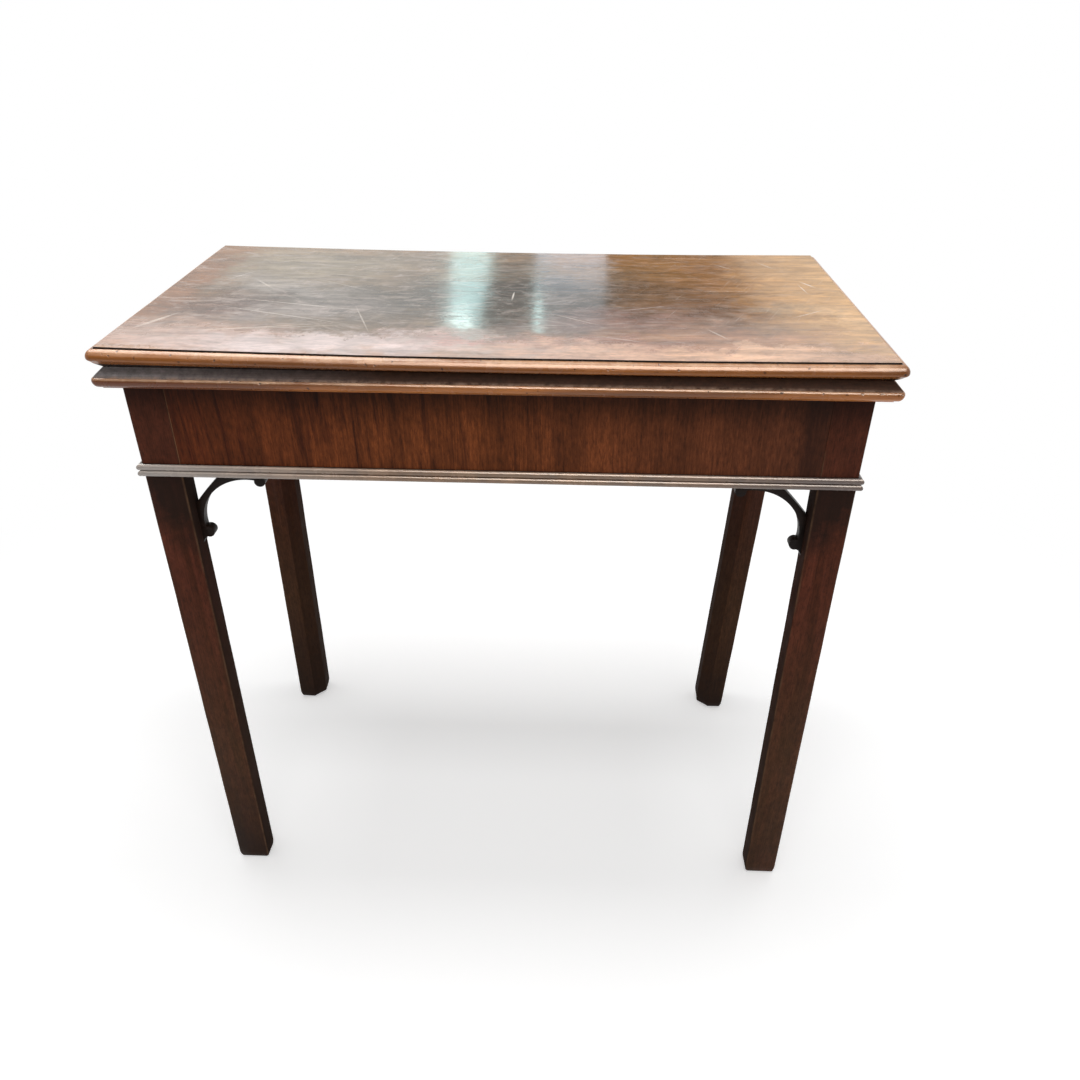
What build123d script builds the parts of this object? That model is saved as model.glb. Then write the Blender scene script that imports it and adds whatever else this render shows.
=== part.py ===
from build123d import *
from math import cos, radians, sin
import os

# Fold-over card table on four square legs, shown closed. Millimetres, +Z up, front towards -Y.
# The origin is on the floor, under the middle of the whole table.

# Overall size
table_height = 728
top_width = 760
top_depth = 380

# Folding top: two equal leaves, moulded on the front and both ends
leaf_thickness = 20.5
leaf_gap = 0.3            # daylight between the folded leaves
quirk_inset = 8           # flat outer face ends here
quirk_step = 1.5
nose_drop = 9             # from the outer face to the furthest point of the nose
nose_tuck = 2             # how far the nose has turned under where the slope begins
nose_tuck_drop = 3
meeting_inset = 11        # the leaves touch inside this margin

# Baize let into the two playing faces
baize_border = 48
baize_recess = 1
baize_thickness = 0.9
baize_back_margin = 4

# Frame under the top
overhang = 20             # of the top over the front and the ends
back_setback = 2
rail_height = 100
leg_size = 39
leg_chamfer = 15          # on the corner that faces the middle of the table
leg_arris = 0.6           # rounding of the leg's other long corners
foot_ease = 2
front_rail_thickness = 25
side_rail_thickness = 22
back_rail_thickness = 22
inner_back_rail_thickness = 20
veneer_thickness = 1.2
tenon_thickness = 9
tenon_setback = 6         # from the outer face of the leg
tenon_length_share = 0.5  # of the leg
tenon_shoulder = 10       # above and below the tenon
corner_tenon_length = 12
corner_tenon_setback = 5.5
inner_tenon_setback = 3   # of the inner back rail, from the inner face of the leg

# Swinging gate: fly rail and fly leg on a wooden knuckle
knuckle_from_centre = 20
knuckle_levels = 5
knuckle_gap = 0.3
finger_gap = 0.2          # each side of a finger, up and down
shoulder_ease = 1         # extra bevel, so that the shoulders never meet
knuckle_pin_radius = 3
pin_fit = 0.02            # pin in the piece that holds it
running_fit = 0.06        # pin in the piece that turns on it
gate_gap = 0.3            # gate to the frame beside and above it
gate_top_drop = 0.5       # gate below the rail tops, so that it passes under the open leaf
fly_leg_lean = 2.6        # degrees, foot inboard

# Twin-bead moulding under the frieze
astragal_height = 14
astragal_projection = 4.5
astragal_root = 1.2

# Pierced scroll brackets; u runs from the leg along the rail, v runs down from the rail
bracket_thickness = 10
bracket_setback = 15
bracket_width = 78
bracket_height = 90
scroll_centre_u = 58.5
scroll_centre_v = 64
scroll_radius = 53
scroll_strip = 6.5
scroll_rail_turn = 9      # degrees past the top of the scroll
scroll_leg_turn = 6       # degrees past the leg side of the scroll
spandrel_on_leg = 41
spandrel_on_rail = 38
drop_depth = 19
drop_corner = 12
knob_reach = 14
knob_length = 12

# Cross brace and glue blocks
brace_width = 60
brace_thickness = 18
tail_length = 12
tail_neck = 38
tail_end = 50
block_length = 50
block_size = 22
block_from_centre = 150
corner_block_leg = 30
corner_block_shoulder = 10

# Brass strap hinges at the back corners of the leaves
hinge_inset = 18
strap_width = 22
strap_length = 38
strap_thickness = 1.6
strap_corner = 4
barrel_radius = 3
barrel_gap = 0.3
hinge_pin_radius = 1.2
strap_screw_shares = (0.34, 0.62, 0.88)        # of the strap's length, from the back edge

# Screws
fixing_shank_radius = 2.2
fixing_head_radius = 4.2
fixing_bite = 12          # into the piece that is held
strap_screw_radius = 1.3
strap_screw_head = 2.8
strap_screw_length = 11
slot_share = 0.12         # half a slot's width, of the head radius
back_screw_shares = (0.2, 0.5, 0.8)            # of the fixed back rail's length

overrun = 5               # for every cut that runs out of its piece

# Places that follow from the sizes
front_y = -(top_depth + barrel_radius) / 2     # the hinge barrels stand out behind the top
back_y = front_y + top_depth
side_x = top_width / 2
meeting_z = table_height - leaf_thickness
rail_top = table_height - 2 * leaf_thickness
rail_bottom = rail_top - rail_height
frame_front = front_y + overhang
frame_back = back_y - back_setback
frame_side = side_x - overhang
leg_inner_x = frame_side - leg_size
front_leg_back = frame_front + leg_size
back_leg_front = frame_back - leg_size
front_rail_back = frame_front + front_rail_thickness
side_rail_inner = frame_side - side_rail_thickness
back_rail_front = frame_back - back_rail_thickness
inner_rail_back = back_rail_front - gate_gap
inner_rail_front = inner_rail_back - inner_back_rail_thickness
tenon_length = leg_size * tenon_length_share
knuckle_y = frame_back - back_rail_thickness / 2
knuckle_radius = back_rail_thickness / 2
level_height = rail_height / knuckle_levels
tenon_z = (rail_bottom + tenon_shoulder, rail_top - tenon_shoulder)
front_tenon_y = (frame_front + tenon_setback, frame_front + tenon_setback + tenon_thickness)
front_side_tenon_y = (front_leg_back - tenon_length, front_leg_back)
back_side_tenon_y = (back_leg_front, back_leg_front + tenon_length)
inner_tenon_front = back_leg_front + inner_tenon_setback
inner_tenon_y = (inner_tenon_front, inner_tenon_front + tenon_thickness)
back_tenon_y = (knuckle_y - tenon_thickness / 2, knuckle_y + tenon_thickness / 2)
corner_tenon_y = (inner_rail_front + corner_tenon_setback, inner_rail_back - corner_tenon_setback)


def span(x, y, z):
    """Box between two values on each axis."""
    size = [high - low for low, high in (x, y, z)]
    middle = [(high + low) / 2 for low, high in (x, y, z)]
    return Pos(*middle) * Box(*size)


def prism(points, z):
    """Upright prism over an outline of (x, y) points."""
    low, high = z
    return Pos(0, 0, low) * extrude(make_face(Polyline(*points, close=True)), amount=high - low)


def upright(radius, x, y, z):
    """Upright cylinder."""
    low, high = z
    return Pos(x, y, (low + high) / 2) * Cylinder(radius, high - low)


# Folding top. For each leaf, into is the way from its meeting face into its wood: up or down.

def meeting_face(into):
    return meeting_z + into * leaf_gap / 2


def moulding(edge, inward, into):
    """Thumb moulding of one leaf edge, with its points on the outer and the meeting face."""
    outer_z = meeting_z + into * leaf_thickness
    quirk = (edge + inward * quirk_inset, outer_z)
    root = (quirk[0], outer_z - into * quirk_step)
    tip = (edge, outer_z - into * nose_drop)
    tuck = (edge + inward * nose_tuck, tip[1] - into * nose_tuck_drop)
    meet = (edge + inward * meeting_inset, meeting_face(into))
    curves = [
        Line(quirk, root),
        TangentArc(tip, root, tangent=(0, into)),
        TangentArc(tip, tuck, tangent=(0, -into)),
        Line(tuck, meet),
    ]
    return curves, quirk, meet


def leaf_blank(into):
    """Leaf with its front and both ends moulded, mitred at the corners, and its back plain."""
    front, front_quirk, front_meet = moulding(front_y, 1, into)
    back_outer = (back_y - leaf_gap / 2, front_quirk[1])
    back_inner = (back_y - leaf_gap / 2, front_meet[1])
    plain = [Line(front_quirk, back_outer), Line(back_outer, back_inner), Line(back_inner, front_meet)]
    left, left_quirk, left_meet = moulding(-side_x, 1, into)
    right, right_quirk, right_meet = moulding(side_x, -1, into)
    flats = [Line(left_quirk, right_quirk), Line(left_meet, right_meet)]
    run_x = extrude(Plane.YZ * make_face(front + plain), amount=side_x, both=True)
    run_y = extrude(Plane.XZ * make_face(left + right + flats), amount=top_depth, both=True)
    return run_x & run_y


def baize_panel(into, thickness):
    """Panel on the floor of the recess in a meeting face."""
    floor = meeting_face(into) + into * baize_recess
    reach_x = side_x - baize_border
    return span((-reach_x, reach_x), (front_y + baize_border, back_y - baize_back_margin),
                sorted((floor, floor - into * thickness)))


def hinge_centre(side):
    return side * (side_x - hinge_inset - strap_width / 2)


def along_hinge(radius, x):
    """Cylinder on the hinge axis between two places on X."""
    low, high = x
    turned = Rot(0, 90, 0) * Cylinder(radius, high - low)
    return Pos((low + high) / 2, back_y, meeting_z) * turned


def hinge_knuckles(side, into):
    """Places of the strap's own knuckles, then of the other strap's: the middle one is the upper's."""
    middle = hinge_centre(side)
    half, inner = strap_width / 2, strap_width / 6
    ease = barrel_gap / 2
    outer = [(middle - half, middle - inner - ease), (middle + inner + ease, middle + half)]
    centre = [(middle - inner + ease, middle + inner - ease)]
    return (centre, outer) if into > 0 else (outer, centre)


def strap_plate(side, into):
    """Flat of a strap, flush with the meeting face and rounded at its front corners."""
    outline = RectangleRounded(strap_width, 2 * strap_length, strap_corner)
    solid = extrude(outline, amount=strap_thickness * into)
    front_half = span((-side_x, side_x), (front_y, back_y), (0, table_height))
    return Pos(hinge_centre(side), back_y, meeting_face(into)) * solid & front_half


def screw(shank, head, length):
    """Countersunk screw, head at the origin and pointing down, with a slot across its head."""
    cone = Pos(0, 0, -(head - shank) / 2) * Cone(shank, head, head - shank)
    body = Pos(0, 0, -length / 2) * Cylinder(shank, length)
    half_slot = head * slot_share
    slot = span((-head, head), (-half_slot, half_slot), ((shank - head) / 2, 0))
    return cone + body - slot


def screw_hole(shank, head, length):
    """Hole for the same screw, with its countersink."""
    cone = Pos(0, 0, -(head - shank) / 2) * Cone(shank + pin_fit, head + pin_fit, head - shank)
    body = Pos(0, 0, -length / 2) * Cylinder(shank + pin_fit, length)
    return cone + body


def strap_screws(side, into, make):
    """Screws, or their holes, from a strap into its leaf."""
    one = make(strap_screw_radius, strap_screw_head, strap_screw_length)
    turned = Rot(180, 0, 0) * one if into > 0 else one
    return [Pos(hinge_centre(side), back_y - strap_length * share, meeting_face(into)) * turned
            for share in strap_screw_shares]


def strap(side, into):
    """Strap with its part of the barrel."""
    own, other = hinge_knuckles(side, into)
    body = strap_plate(side, into)
    for low, high in other:
        body -= along_hinge(barrel_radius + barrel_gap, (low - barrel_gap, high + barrel_gap))
    for x in own:
        body += along_hinge(barrel_radius, x)
    bore = hinge_pin_radius + (running_fit if into > 0 else pin_fit)
    middle = hinge_centre(side)
    body -= along_hinge(bore, (middle - strap_width, middle + strap_width))
    for hole in strap_screws(side, into, screw_hole):
        body -= hole
    return body


def hinge_pin(side):
    middle = hinge_centre(side)
    return along_hinge(hinge_pin_radius, (middle - strap_width / 2, middle + strap_width / 2))


def leaf(into):
    """Finished leaf: baize recess, strap pockets, room for the barrels, and screw holes."""
    body = leaf_blank(into) - baize_panel(into, baize_recess)
    for side in (-1, 1):
        body -= strap_plate(side, into)
        reach = strap_width / 2 + barrel_gap
        middle = hinge_centre(side)
        body -= along_hinge(barrel_radius + barrel_gap, (middle - reach, middle + reach))
        for hole in strap_screws(side, into, screw_hole):
            body -= hole
    return body


# Legs, rails and veneers

def leg_corners(x, y):
    """Inner corner of a leg, then points half way down its three other corners."""
    inner_x = x - leg_size * (1 if x > 0 else -1)
    inner_y = y - leg_size * (1 if y > 0 else -1)
    middle = rail_bottom / 2
    return (inner_x, inner_y), [(x, y, middle), (inner_x, y, middle), (x, inner_y, middle)]


def chamfered_post(x, y, z):
    """Square post at the given outer corner, its inner corner chamfered below the rails."""
    (inner_x, inner_y), _ = leg_corners(x, y)
    way_x, way_y = (1 if x > 0 else -1), (1 if y > 0 else -1)
    corner = [
        (inner_x - way_x * overrun, inner_y - way_y * overrun),
        (inner_x + way_x * (leg_chamfer + overrun), inner_y - way_y * overrun),
        (inner_x - way_x * overrun, inner_y + way_y * (leg_chamfer + overrun)),
    ]
    post = span(sorted((inner_x, x)), sorted((inner_y, y)), z)
    return post - prism(corner, (z[0] - overrun, rail_bottom))


def dressed_leg(leg, long_corners):
    """Ease the foot, then round the three long corners."""
    sole = leg.faces().sort_by(Axis.Z)[0]
    leg = chamfer(sole.edges(), foot_ease)
    return fillet([leg.edges().sort_by_distance(point)[0] for point in long_corners], leg_arris)


def along_x(side, y):
    """Tenon along X into a leg, from the shoulder at the leg's inner face."""
    return span(sorted((side * leg_inner_x, side * (leg_inner_x + tenon_length))), y, tenon_z)


def along_y(side, y):
    """Tenon along Y of a side rail into a leg."""
    outer = frame_side - tenon_setback
    return span(sorted((side * outer, side * (outer - tenon_thickness))), y, tenon_z)


def front_leg(side):
    x, y = side * frame_side, frame_front
    post = dressed_leg(chamfered_post(x, y, (0, rail_top)), leg_corners(x, y)[1])
    return post - along_x(side, front_tenon_y) - along_y(side, front_side_tenon_y)


def back_left_leg():
    x, y = -frame_side, frame_back
    post = dressed_leg(chamfered_post(x, y, (0, rail_top)), leg_corners(x, y)[1])
    post -= along_y(-1, back_side_tenon_y)
    return post - along_x(-1, inner_tenon_y) - along_x(-1, back_tenon_y)


def tail(root_y, away):
    """Dovetail of the cross brace, from the rail's inner face into the rail."""
    points = [
        (-tail_neck / 2, root_y),
        (tail_neck / 2, root_y),
        (tail_end / 2, root_y + away * tail_length),
        (-tail_end / 2, root_y + away * tail_length),
    ]
    return prism(points, (rail_top - brace_thickness, rail_top))


def cross_brace():
    board = span((-brace_width / 2, brace_width / 2), (front_rail_back, inner_rail_front),
                 (rail_top - brace_thickness, rail_top))
    return board + tail(front_rail_back, -1) + tail(inner_rail_front, 1)


def front_rail():
    board = span((-leg_inner_x, leg_inner_x), (frame_front + veneer_thickness, front_rail_back),
                 (rail_bottom, rail_top))
    board += along_x(-1, front_tenon_y) + along_x(1, front_tenon_y)
    return board - tail(front_rail_back, -1)


def side_rail(side):
    """The left rail runs between two legs; the right one ends behind the fly leg's shoulder."""
    back_end = back_leg_front if side < 0 else inner_rail_back
    board = span(sorted((side * (frame_side - veneer_thickness), side * side_rail_inner)),
                 (front_leg_back, back_end), (rail_bottom, rail_top))
    board += along_y(side, front_side_tenon_y)
    if side < 0:
        return board + along_y(side, back_side_tenon_y)
    return board - corner_tenon()


def side_veneer(side):
    back_end = back_leg_front if side < 0 else inner_rail_back
    return span(sorted((side * frame_side, side * (frame_side - veneer_thickness))),
                (front_leg_back, back_end), (rail_bottom, rail_top))


def corner_tenon():
    """Tenon of the inner back rail into the right side rail."""
    return span((side_rail_inner, side_rail_inner + corner_tenon_length), corner_tenon_y, tenon_z)


def inner_back_rail():
    board = span((-leg_inner_x, side_rail_inner), (inner_rail_front, inner_rail_back),
                 (rail_bottom, rail_top))
    board += along_x(-1, inner_tenon_y) + corner_tenon()
    board -= tail(inner_rail_front, 1)
    for hole in back_rail_screws(screw_hole):
        board -= hole
    return board


def front_veneer():
    return span((-leg_inner_x, leg_inner_x), (frame_front, frame_front + veneer_thickness),
                (rail_bottom, rail_top))


def back_rail_screws(make):
    """Screws from the inner back rail into the fixed outer one."""
    length = inner_back_rail_thickness + gate_gap + fixing_bite
    one = Rot(90, 0, 0) * make(fixing_shank_radius, fixing_head_radius, length)
    run = leg_inner_x - knuckle_radius
    middle_z = (rail_bottom + rail_top) / 2
    return [Pos(-leg_inner_x + run * share, inner_rail_front, middle_z) * one
            for share in back_screw_shares]


# Wooden knuckle and swinging gate

def level(index, grow):
    low = rail_bottom + index * level_height
    return (low - grow, low + level_height + grow)


def shoulder_bevel(toward):
    """Wedge off the outer corner of a rail at the knuckle; it gives the gate its quarter turn."""
    reach = knuckle_radius + overrun
    points = [
        (knuckle_from_centre, knuckle_y),
        (knuckle_from_centre, knuckle_y + reach),
        (knuckle_from_centre + toward * (reach + shoulder_ease), knuckle_y + reach),
    ]
    return prism(points, (rail_bottom - overrun, rail_top + overrun))


def knuckled(rail, toward, own_first, bore):
    """Cut one rail's half of the knuckle; toward is the way from the pin into the rail."""
    rail -= shoulder_bevel(toward)
    for index in range(knuckle_levels):
        own = (index % 2 == 0) == own_first
        if own:
            low, high = level(index, -finger_gap)
            low = rail_bottom if index == 0 else low
            high = rail_top if index == knuckle_levels - 1 else high
            rail += upright(knuckle_radius, knuckle_from_centre, knuckle_y, (low, high))
        else:
            low, high = level(index, finger_gap)
            rail -= upright(knuckle_radius + knuckle_gap, knuckle_from_centre, knuckle_y, (low, high))
    through = (rail_bottom - overrun, rail_top + overrun)
    return rail - upright(bore, knuckle_from_centre, knuckle_y, through)


def fixed_back_rail():
    board = span((-leg_inner_x, knuckle_from_centre), (back_rail_front, frame_back),
                 (rail_bottom, rail_top))
    board = knuckled(board, -1, True, knuckle_pin_radius + pin_fit)
    board += along_x(-1, back_tenon_y)
    for hole in back_rail_screws(screw_hole):
        board -= hole
    return board


def knuckle_pin():
    return upright(knuckle_pin_radius, knuckle_from_centre, knuckle_y,
                   (rail_bottom, rail_top - gate_top_drop))


# The fly leg's pieces are made upright, then turned about the rail's lower corner, foot inboard.
lean = Pos(frame_side, 0, rail_bottom) * Rot(0, fly_leg_lean, 0) * Pos(-frame_side, 0, -rail_bottom)


def fly_leg_blank():
    """Leaning leg, cut level at both ends and notched to stand behind the frame's corner."""
    post = lean * chamfered_post(frame_side, frame_back, (-leg_size, rail_top + leg_size))
    reach_x = (leg_inner_x - leg_size - overrun, frame_side + leg_size)
    reach_y = (back_leg_front - overrun, frame_back + overrun)
    notch_y = (back_leg_front - overrun, back_rail_front)
    slab = span(reach_x, reach_y, (0, rail_top - gate_top_drop))
    notch = span(reach_x, notch_y, (rail_bottom - gate_gap, rail_top + overrun))
    return (post & slab) - notch


def fly_leg():
    corners = [(lean * Pos(*point)).position for point in leg_corners(frame_side, frame_back)[1]]
    return dressed_leg(fly_leg_blank(), corners) - along_x(1, back_tenon_y)


def fly_rail():
    board = span((knuckle_from_centre, frame_side), (back_rail_front, frame_back),
                 (rail_bottom + gate_gap, rail_top - gate_top_drop))
    beyond = lean * span((leg_inner_x, frame_side + leg_size), (back_leg_front, frame_back + overrun),
                         (rail_bottom - leg_size, rail_top + leg_size))
    board = knuckled(board - beyond, 1, False, knuckle_pin_radius + running_fit)
    root = span((leg_inner_x - tenon_length, leg_inner_x), back_tenon_y, tenon_z)
    return board + root + along_x(1, back_tenon_y)


# Twin-bead moulding

def bead_face():
    """Section of the moulding: out from the frame, and up from the rail's lower edge."""
    half = astragal_height / 2
    crest = astragal_projection
    return make_face([
        Line((0, 0), (astragal_root, 0)),
        ThreePointArc((astragal_root, 0), (crest, half / 2), (astragal_root, half)),
        ThreePointArc((astragal_root, half), (crest, half + half / 2), (astragal_root, astragal_height)),
        Line((astragal_root, astragal_height), (0, astragal_height)),
        Line((0, astragal_height), (0, 0)),
    ])


def mitre(side, front_piece):
    """Waste beyond the mitre at a front corner."""
    x, y = side * frame_side, frame_front
    out = astragal_projection + overrun
    third = (x + side * out, y) if front_piece else (x, y - out)
    return prism([(x, y), (x + side * out, y - out), third], (rail_bottom - overrun, rail_top))


def front_astragal():
    reach = frame_side + astragal_projection
    section = Plane(origin=(reach, frame_front, rail_bottom), x_dir=(0, -1, 0), z_dir=(-1, 0, 0))
    strip = extrude(section * bead_face(), amount=2 * reach, dir=(-1, 0, 0))
    return strip - mitre(-1, True) - mitre(1, True)


def side_bead(side, low_y, high_y):
    section = Plane(origin=(side * frame_side, low_y, rail_bottom), x_dir=(side, 0, 0), z_dir=(0, -side, 0))
    return extrude(section * bead_face(), amount=high_y - low_y, dir=(0, 1, 0))


def side_astragal(side):
    back_end = frame_back if side < 0 else inner_rail_back
    return side_bead(side, frame_front - astragal_projection, back_end) - mitre(side, False)


def fly_leg_astragal():
    return lean * side_bead(1, back_rail_front, frame_back)


# Scroll brackets

def scroll_bracket(side):
    """Open scroll between the front leg and the rail: a curved strip with a knob at each end."""
    def at(u, v):
        return (side * (leg_inner_x - u), rail_bottom - v)

    def on_scroll(radius, degrees):
        turn = radians(degrees)
        return (scroll_centre_u - radius * cos(turn), scroll_centre_v - radius * sin(turn))

    leg_end = on_scroll(scroll_radius, -scroll_leg_turn)
    rail_end = on_scroll(scroll_radius, 90 + scroll_rail_turn)
    inner_middle = on_scroll(scroll_radius, 45)
    outer_middle = on_scroll(scroll_radius + scroll_strip, 45)
    drop_middle = ((rail_end[0] + bracket_width) / 2, drop_depth)
    knob_middle = (knob_reach, leg_end[1] + knob_length / 2)
    knob_end = (leg_end[0], leg_end[1] + knob_length)
    tail_middle = (knob_end[0] / 3, (knob_end[1] * 2 + bracket_height) / 3)
    outline = [
        ThreePointArc(at(0, spandrel_on_leg), at(*outer_middle), at(spandrel_on_rail, 0)),
        Line(at(spandrel_on_rail, 0), at(bracket_width, 0)),
        Line(at(bracket_width, 0), at(bracket_width, drop_corner)),
        ThreePointArc(at(bracket_width, drop_corner), at(*drop_middle), at(*rail_end)),
        ThreePointArc(at(*rail_end), at(*inner_middle), at(*leg_end)),
        ThreePointArc(at(*leg_end), at(*knob_middle), at(*knob_end)),
        ThreePointArc(at(*knob_end), at(*tail_middle), at(0, bracket_height)),
        Line(at(0, bracket_height), at(0, spandrel_on_leg)),
    ]
    front = frame_front + bracket_setback
    plane = Plane(origin=(0, front, 0), x_dir=(1, 0, 0), z_dir=(0, -1, 0))
    return extrude(plane * make_face(outline), amount=bracket_thickness, dir=(0, 1, 0))


# Glue blocks and the screws that hold the top

block_places = {
    "front_left_top_block": (-block_from_centre, front_rail_back + block_size / 2, True),
    "front_right_top_block": (block_from_centre, front_rail_back + block_size / 2, True),
    "back_left_top_block": (-block_from_centre, inner_rail_front - block_size / 2, True),
    "back_right_top_block": (block_from_centre, inner_rail_front - block_size / 2, True),
    "left_top_block": (-side_rail_inner + block_size / 2, 0, False),
    "right_top_block": (side_rail_inner - block_size / 2, 0, False),
}


def top_screws(make):
    """Screws up through the six blocks into the lower leaf."""
    one = Rot(180, 0, 0) * make(fixing_shank_radius, fixing_head_radius, block_size + fixing_bite)
    return [Pos(x, y, rail_top - block_size) * one for x, y, _ in block_places.values()]


def top_block(x, y, runs_along_x):
    long_half, short_half = block_length / 2, block_size / 2
    half_x, half_y = (long_half, short_half) if runs_along_x else (short_half, long_half)
    block = span((x - half_x, x + half_x), (y - half_y, y + half_y), (rail_top - block_size, rail_top))
    hole = screw_hole(fixing_shank_radius, fixing_head_radius, block_size + fixing_bite)
    return block - Pos(x, y, rail_top - block_size) * Rot(180, 0, 0) * hole


def corner_block():
    points = [
        (side_rail_inner, inner_rail_front),
        (side_rail_inner - corner_block_leg, inner_rail_front),
        (side_rail_inner, inner_rail_front - corner_block_leg),
    ]
    return prism(points, (rail_bottom + corner_block_shoulder, rail_top - corner_block_shoulder))


def lower_leaf():
    body = leaf(-1)
    for hole in top_screws(screw_hole):
        body -= hole
    return body


nodes = {
    "upper_leaf": leaf(1),
    "lower_leaf": lower_leaf(),
    "upper_baize": baize_panel(1, baize_thickness),
    "lower_baize": baize_panel(-1, baize_thickness),
    "front_rail": front_rail(),
    "front_frieze_veneer": front_veneer(),
    "inner_back_rail": inner_back_rail(),
    "fixed_back_rail": fixed_back_rail(),
    "fly_rail": fly_rail(),
    "knuckle_pin": knuckle_pin(),
    "cross_brace": cross_brace(),
    "front_left_leg": front_leg(-1),
    "front_right_leg": front_leg(1),
    "back_left_leg": back_left_leg(),
    "fly_leg": fly_leg(),
    "front_astragal": front_astragal(),
    "fly_leg_astragal": fly_leg_astragal(),
    "back_right_corner_block": corner_block(),
    "top_fixing_screws": Compound(children=top_screws(screw)),
    "back_rail_screws": Compound(children=back_rail_screws(screw)),
    "lower_strap_screws": Compound(children=strap_screws(-1, -1, screw) + strap_screws(1, -1, screw)),
    "upper_strap_screws": Compound(children=strap_screws(-1, 1, screw) + strap_screws(1, 1, screw)),
}
for word, side in (("left", -1), ("right", 1)):
    nodes[word + "_side_rail"] = side_rail(side)
    nodes[word + "_side_veneer"] = side_veneer(side)
    nodes[word + "_astragal"] = side_astragal(side)
    nodes["front_" + word + "_bracket"] = scroll_bracket(side)
    nodes[word + "_lower_strap"] = strap(side, -1)
    nodes[word + "_upper_strap"] = strap(side, 1)
    nodes[word + "_hinge_pin"] = hinge_pin(side)
for name, place in block_places.items():
    nodes[name] = top_block(*place)

os.makedirs("parts", exist_ok=True)
for name, shape in nodes.items():
    export_step(shape, "parts/" + name + ".step")
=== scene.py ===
import bmesh
import bpy
from bpy.props import FloatProperty, FloatVectorProperty, PointerProperty
from math import hypot, pi, radians, sqrt
from mathutils import Matrix, Vector, noise


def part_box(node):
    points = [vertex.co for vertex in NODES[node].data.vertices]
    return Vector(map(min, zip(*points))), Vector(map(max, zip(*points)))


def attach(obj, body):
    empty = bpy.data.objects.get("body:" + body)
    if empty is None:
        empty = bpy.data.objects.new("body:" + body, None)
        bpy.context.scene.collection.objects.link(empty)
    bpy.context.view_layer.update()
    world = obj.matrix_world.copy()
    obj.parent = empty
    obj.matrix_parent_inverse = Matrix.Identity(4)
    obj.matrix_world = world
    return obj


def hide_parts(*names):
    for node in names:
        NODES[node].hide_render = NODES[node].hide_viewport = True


bl_info = {
    "name": "Fold-over card table finishes",
    "version": (1, 0, 0),
    "blender": (4, 5, 0),
    "location": "View3D > Sidebar > Card Table",
    "description": "Dresses the pieces of a mahogany card table and sets up its studio",
    "category": "Object",
}

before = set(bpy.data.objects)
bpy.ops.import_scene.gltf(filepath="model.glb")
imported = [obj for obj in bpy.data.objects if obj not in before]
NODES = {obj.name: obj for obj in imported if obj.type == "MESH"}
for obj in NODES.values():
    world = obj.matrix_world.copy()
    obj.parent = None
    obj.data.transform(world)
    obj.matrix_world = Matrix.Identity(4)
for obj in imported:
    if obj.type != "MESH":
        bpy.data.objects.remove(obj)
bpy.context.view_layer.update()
MM = 0.001

# Places on the table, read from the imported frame

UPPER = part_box("upper_leaf")
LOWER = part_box("lower_leaf")
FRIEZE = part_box("front_frieze_veneer")
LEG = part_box("front_left_leg")
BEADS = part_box("front_astragal")
SIDE_X = UPPER[1].x
FRONT_Y = UPPER[0].y
BACK_Y = LOWER[1].y
MEETING_Z = (UPPER[0].z + LOWER[1].z) / 2
RAIL_TOP = LOWER[0].z
RAIL_BOTTOM = FRIEZE[0].z
FRAME_FRONT = FRIEZE[0].y
FRAME_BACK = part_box("back_left_leg")[1].y
FRAME_SIDE = -LEG[0].x
LEG_SIZE = LEG[1].x - LEG[0].x
LEG_INSIDE = FRAME_SIDE - LEG_SIZE

# Sections of the pieces

QUIRK = 8 * MM          # from the edge of the top to the sunk line round its face
TUCK = 8.5 * MM         # from the meeting faces to where a nose has turned under
NOSE = 12 * MM          # from the edge to behind a nose
MEETING_RIM = 11.2 * MM         # from the edge to the flat part of a playing face
BEAD_HEIGHT = BEADS[1].z - BEADS[0].z
BEAD_CREST = FRAME_FRONT - BEADS[0].y
BEAD_ROOT = 1.2 * MM    # how far the groove between the beads stands out
FLY_LEAN = 2.6          # degrees that the fly leg leans about the outer end of the rail's foot


def tone(code):
    """sRGB hex colour as linear RGBA."""
    parts = [int(code[k:k + 2], 16) / 255 for k in (1, 3, 5)]
    linear = [c / 12.92 if c <= 0.04045 else ((c + 0.055) / 1.055) ** 2.4 for c in parts]
    return (*linear, 1.0)


def colour_property(name, description, code):
    return FloatVectorProperty(name=name, description=description, subtype="COLOR", size=4,
                               min=0, max=1, default=tone(code))


def length_property(name, description, value):
    return FloatProperty(name=name, description=description, unit="LENGTH", default=value, min=0)


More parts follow.
